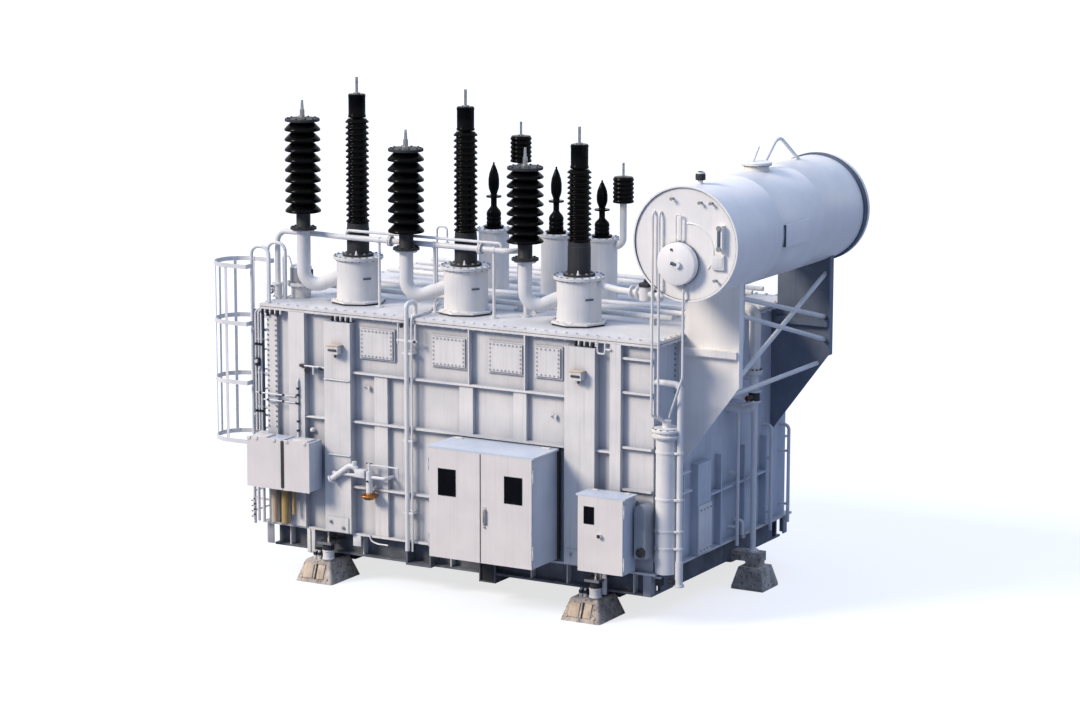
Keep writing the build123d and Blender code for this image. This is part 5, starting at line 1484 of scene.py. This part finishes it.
@dataclass
class Underframe(Assembly):
    """Stiffeners of the skid, the open beam end and the clamps on the feet."""

    floor_bottom: float = 690.0
    skid_y: float = -1960.0
    stiffener_xs: tuple[float, ...] = (-2700.0, -1500.0, -100.0, 1150.0, 1700.0, 2700.0)
    beam_x: tuple[float, float] = (357.0, 610.0)
    beam_z: tuple[float, float] = (262.0, 370.0)
    beam_reach: float = 1985.0
    foot_xs: tuple[float, float] = (-2094.0, 2089.8)
    foot_y: float = -1950.0
    pad_size: tuple[float, float] = (600.0, 760.0)
    pad_narrow: tuple[float, float] = (0.7, 0.6842)
    pad_height: float = 300.0
    sleeve: Outline = ((76, 316), (86, 320), (86, 338), (79, 342), (79, 424), (86, 428), (86, 444),
                       (76, 448), (76, 316))
    collar: Outline = ((76, 450), (80, 452), (80, 540), (76, 541), (76, 450))

    def makers(self) -> Makers:
        """The underframe's makers, from the skid down to the feet."""
        return self.stiffeners, self.corner_posts, self.middle_beam, self.pads, self.feet

    def pads(self) -> None:
        """The cast pads with rounded corners, a plate each side of the slot on both outer faces, and a dark
        rod of painted shade in each slot.
        """
        cast = self.piece("cast_pads", "pad", replaces=["foot_pads"], sharp=50)
        plates, slot_shades = self.piece("pad_plates", "beige"), self.piece("pad_slot_painted_shade", "rubber")
        size = Matrix.Diagonal((*self.pad_size, self.pad_height, 1))
        for side in (1, -1):
            for x in self.foot_xs:
                y = side * self.foot_y
                verts = cast.block(Matrix.Translation((x, y, self.pad_height / 2)) @ size)
                for vert in (v for v in verts if v.co.z > self.pad_height / 2):
                    vert.co.x = x + (vert.co.x - x) * self.pad_narrow[0]
                    vert.co.y = y + (vert.co.y - y) * self.pad_narrow[1]
                edges = {e for v in verts for e in v.link_edges if max(u.co.z for u in e.verts) > 1}
                cast.bevel(edges, 42, 4)
                low, high = Vector((x, y - side * 361, 52)), Vector((x, y - side * 285, 250))
                lean = (high - low).to_track_quat("Z", "Y").to_matrix().to_4x4()
                for off, wide in ((-112, 150), (100, 112)):
                    spot = Matrix.Translation((low + high) / 2 + Vector((off * 0.94, 0, 0))) @ lean
                    plates.block(spot @ Matrix.Diagonal((wide, 26, 196, 1)), 7)
                # Painted shade: a dark rubber rod in the slot between the plates
                slot = Vector((15, side * 6, 0))
                slot_shades.rod(low + slot, high + slot, 15, 8)
                for bolt_x in (x + 205, x - 205):
                    plates.bolt((bolt_x, y - side * 350, 66), (0, -side, 0.35), 22)

    def stiffeners(self) -> None:
        """The web stiffeners of both long beams, and the posts beside the left foot."""
        pale = self.piece("skid_stiffeners", "gear")
        for side in (1, -1):
            low, high = sorted((side * self.skid_y, side * (self.skid_y + 112)))
            for x in self.stiffener_xs:
                pale.box((x - 7, low, 400), (x + 7, high, 660))
        for x in (-2285, 2285):
            pale.box((x - 62, -2078, 352), (x + 62, -2040, self.floor_bottom), 3)
            pale.box((x - 8, -2078, 352), (x + 8, -1961, self.floor_bottom))
        pale.box((-1594, -2078, 536), (-1470, -2044, self.floor_bottom), 3)
        y = -2092
        pale.pipe([(-1313, y, 720), (-1290, y, 640), (-1180, y, 612), (-1020, y, 612)], 11, 60, 8)

    def corner_posts(self) -> None:
        """The pale plates that close the beams' ends at the corners, with the dark jacking lug beside one."""
        posts, dark = self.piece("corner_posts", "grey"), self.piece("corner_lug", "dark")
        for side in (1, -1):
            for end in (1, -1):
                for xs, ys, top in (((2990, 3012), (1962, 2076), 690), ((2900, 3010), (2062, 2078), 700)):
                    x0, x1 = sorted(end * x for x in xs)
                    y0, y1 = sorted(side * y for y in ys)
                    posts.box((x0, y0, 412), (x1, y1, top), 2)
        dark.box((3060, -2040, 560), (3150, -1960, 660), 6)
        posts.rod((3040, -2050, 675), (3150, -2050, 675), 16, 10)

    def middle_beam(self) -> None:
        """The open end of the shallow cross member in the middle, on both sides, with dark blocks of painted
        shade inside its channel.
        """
        beam, dark = self.piece("middle_cross_member", "skid"), self.piece("middle_cross_member_painted_shade", "dark")
        (x0, x1), (z0, z1), reach, t = self.beam_x, self.beam_z, self.beam_reach, 16
        beam.box((x0, -reach, z0), (x0 + t, reach, z1))
        beam.box((x1 - t, -reach, z0), (x1, reach, z1))
        beam.box((x0, -reach, z0), (x1, reach, z0 + t))
        for x in (x0, x1 - t):
            beam.box((x, -reach, z1), (x + t, self.skid_y, 535))
            beam.box((x, -self.skid_y, z1), (x + t, reach, 535))
        # Painted shade: dark blocks fill the channel inside and above the member
        dark.box((x0 + t, -reach + 26, z0 + t), (x1 - t, reach - 26, z1 - 1))
        dark.box((x0 + t, -reach + 24, z1), (x1 - t, self.skid_y - 0.5, 532))

    def feet(self) -> None:
        """The bright sleeve of each jack, its collar, dark as painted shade under the beam, and the pair of
        clamp bolts at its left.
        """
        pale, dark = self.piece("jack_sleeves", "gear"), self.piece("jack_collars_painted_shade", "dark")
        for side in (1, -1):
            for foot_x in self.foot_xs:
                x, y = foot_x + 130, side * (self.foot_y - 180)
                pale.lathe((x, y, 0), self.sleeve, steps=36)
                # Painted shade: the collar above the sleeve is dark for the shade under the beam
                dark.lathe((x, y, 0), self.collar, steps=36)
                for off in (-150, -215):
                    pale.post(x + off, y, 300, 352, 26, 6)
                    dark.post(x + off, y, 352, 392, 30, 12)
                    pale.post(x + off, y, 392, 418, 17, 10)


# Frame dressing


@dataclass
class FrameDress:
    """Finishes for the CAD nodes that stay."""

    shop: Shop
    keys: dict[str, tuple[str, ...]] = field(default_factory=lambda: {
        "tank": ("front_wall", "rear_wall", "left_wall", "front_columns", "rear_columns", "tank_cover",
                 "tank_floor", "front_hand_holes", "rear_hand_holes"),
        "end_wall": ("right_wall",),
        "rear_plate": ("rear_saddle_plate",),
        "skid": ("skid_beams",),
        "beam": ("cross_beams",),
        "pad": ("end_foot",),
        "steel": ("foot_jacks",),
        "grey": ("drive_motor",),
        "cabinet": ("control_left_door", "control_right_door", "drive_cabinet_door", "terminal_box_lids"),
        "cabinet_body": ("control_cabinet", "drive_cabinet", "terminal_boxes"),
        "glass": ("control_left_glass", "control_right_glass", "drive_cabinet_glass"),
        "drum": ("conservator_top_fittings", "conservator_end_fittings", "front_saddle_plate"),
    })

    def build(self) -> None:
        """Gives every shown CAD node its finish."""
        named = {node: key for key, nodes in self.keys.items() for node in nodes}
        for node, obj in frame["nodes"].items():
            self.shop.dress(obj, named.get(node, "gear"))


# Studio


@dataclass
class Studio:
    """The floor, the lights, the backdrop and the camera."""

    azimuth: float = 29.489
    elevation: float = 10.4615
    roll: float = 0.073
    lens: float = 109.97
    sensor: float = 36.0
    camera_mm: tuple[float, float, float] = (22321.5, -39163.7, 11391.5)
    floor_radius: float = 400.0
    floor_colour: str = "949BA8"
    floor_glow: float = 0.74
    sun_way: tuple[float, float, float] = (-0.50, -0.60, 0.50)
    sun_power: float = 3.4
    sun_spread: float = 18.0
    sun_colour: str = "FFEFDC"
    sky_colour: str = "B0C5EE"
    sky_fit: Fit = (0.25, 1.0, 0.06, 2.1)

    def camera(self) -> None:
        """The camera where the photograph was taken from."""
        data = bpy.data.cameras.new("view")
        data.lens, data.sensor_width = self.lens, self.sensor
        data.clip_start, data.clip_end = 1.0, 2000.0
        obj = bpy.data.objects.new("view", data)
        bpy.context.scene.collection.objects.link(obj)
        a, e = math.radians(self.azimuth), math.radians(self.elevation)
        back = Vector((math.sin(a) * math.cos(e), -math.cos(a) * math.cos(e), math.sin(e)))
        turn = (-back).to_track_quat("-Z", "Y").to_matrix() @ Matrix.Rotation(math.radians(self.roll), 3, "Z")
        obj.matrix_world = Matrix.Translation(Vector(self.camera_mm) / 1000 + TANK_MIDDLE) @ turn.to_4x4()
        bpy.context.scene.camera = obj

    def sun(self) -> None:
        """A soft far lamp from the front left."""
        data = bpy.data.lights.new("key", "SUN")
        data.energy, data.angle = self.sun_power, math.radians(self.sun_spread)
        data.color = linear(self.sun_colour)[:3]
        obj = bpy.data.objects.new("key", data)
        obj.rotation_mode = "QUATERNION"
        obj.rotation_quaternion = Vector(self.sun_way).to_track_quat("Z", "Y")
        bpy.context.scene.collection.objects.link(obj)

    def backdrop(self) -> None:
        """A plain sky fill that the camera, gloss and glass see as white."""
        world = bpy.data.worlds.new("studio")
        bpy.context.scene.world = world
        world.use_nodes = True
        tree = world.node_tree
        tree.nodes.clear()
        path = put(tree, "LightPath").outputs
        seen = path["Is Camera Ray"]
        for ray in ("Is Glossy Ray", "Is Transmission Ray"):
            seen = put(tree, "Math", {0: seen, 1: path[ray]}, operation="MAXIMUM").outputs[0]
        height = put(tree, "SeparateXYZ", {0: put(tree, "TexCoord").outputs["Generated"]}).outputs[2]
        fill = put(tree, "Background", {0: linear(self.sky_colour), 1: fitted(tree, height, self.sky_fit)})
        white = put(tree, "Background", {0: (1, 1, 1, 1), 1: 1.0})
        both = put(tree, "MixShader", {0: seen, 1: fill.outputs[0], 2: white.outputs[0]})
        put(tree, "OutputWorld", {0: both.outputs[0]})

    def floor(self) -> None:
        """The pale floor, brighter to the camera so that it meets the backdrop, with the shadow kept."""
        material = bpy.data.materials.new("pale_floor")
        material.use_nodes = True
        tree = material.node_tree
        tree.nodes.clear()
        matt = put(tree, "BsdfDiffuse", {0: linear(self.floor_colour)})
        seen = put(tree, "LightPath").outputs["Is Camera Ray"]
        strength = put(tree, "Math", {0: seen, 1: self.floor_glow}, operation="MULTIPLY").outputs[0]
        glow = put(tree, "Emission", {0: (1, 1, 1, 1), 1: strength})
        both = put(tree, "AddShader", {0: matt.outputs[0], 1: glow.outputs[0]})
        put(tree, "OutputMaterial", {0: both.outputs[0]})
        bm = bmesh.new()
        bmesh.ops.create_circle(bm, cap_ends=True, segments=96, radius=self.floor_radius)
        mesh = bpy.data.meshes.new("floor")
        bm.to_mesh(mesh)
        bm.free()
        mesh.materials.append(material)
        obj = bpy.data.objects.new("floor", mesh)
        bpy.context.scene.collection.objects.link(obj)

    def build(self) -> None:
        """Builds the studio."""
        bpy.context.scene.view_settings.view_transform = "Standard"
        self.backdrop()
        self.floor()
        self.sun()
        self.camera()


def main() -> None:
    """Builds each sub-assembly in order, then the studio."""
    logging.basicConfig(level=logging.INFO, format="%(name)s %(message)s")
    shop = Shop()
    FrameDress(shop).build()
    for kind in (TankGear, TurretRow, BushingRow, Conservator, WallGear, CoverGear, DrumGear, CornerGear,
                 CabinetGear, Underframe):
        kind(shop).build()
    Studio().build()


if __name__ == "__main__":
    main()
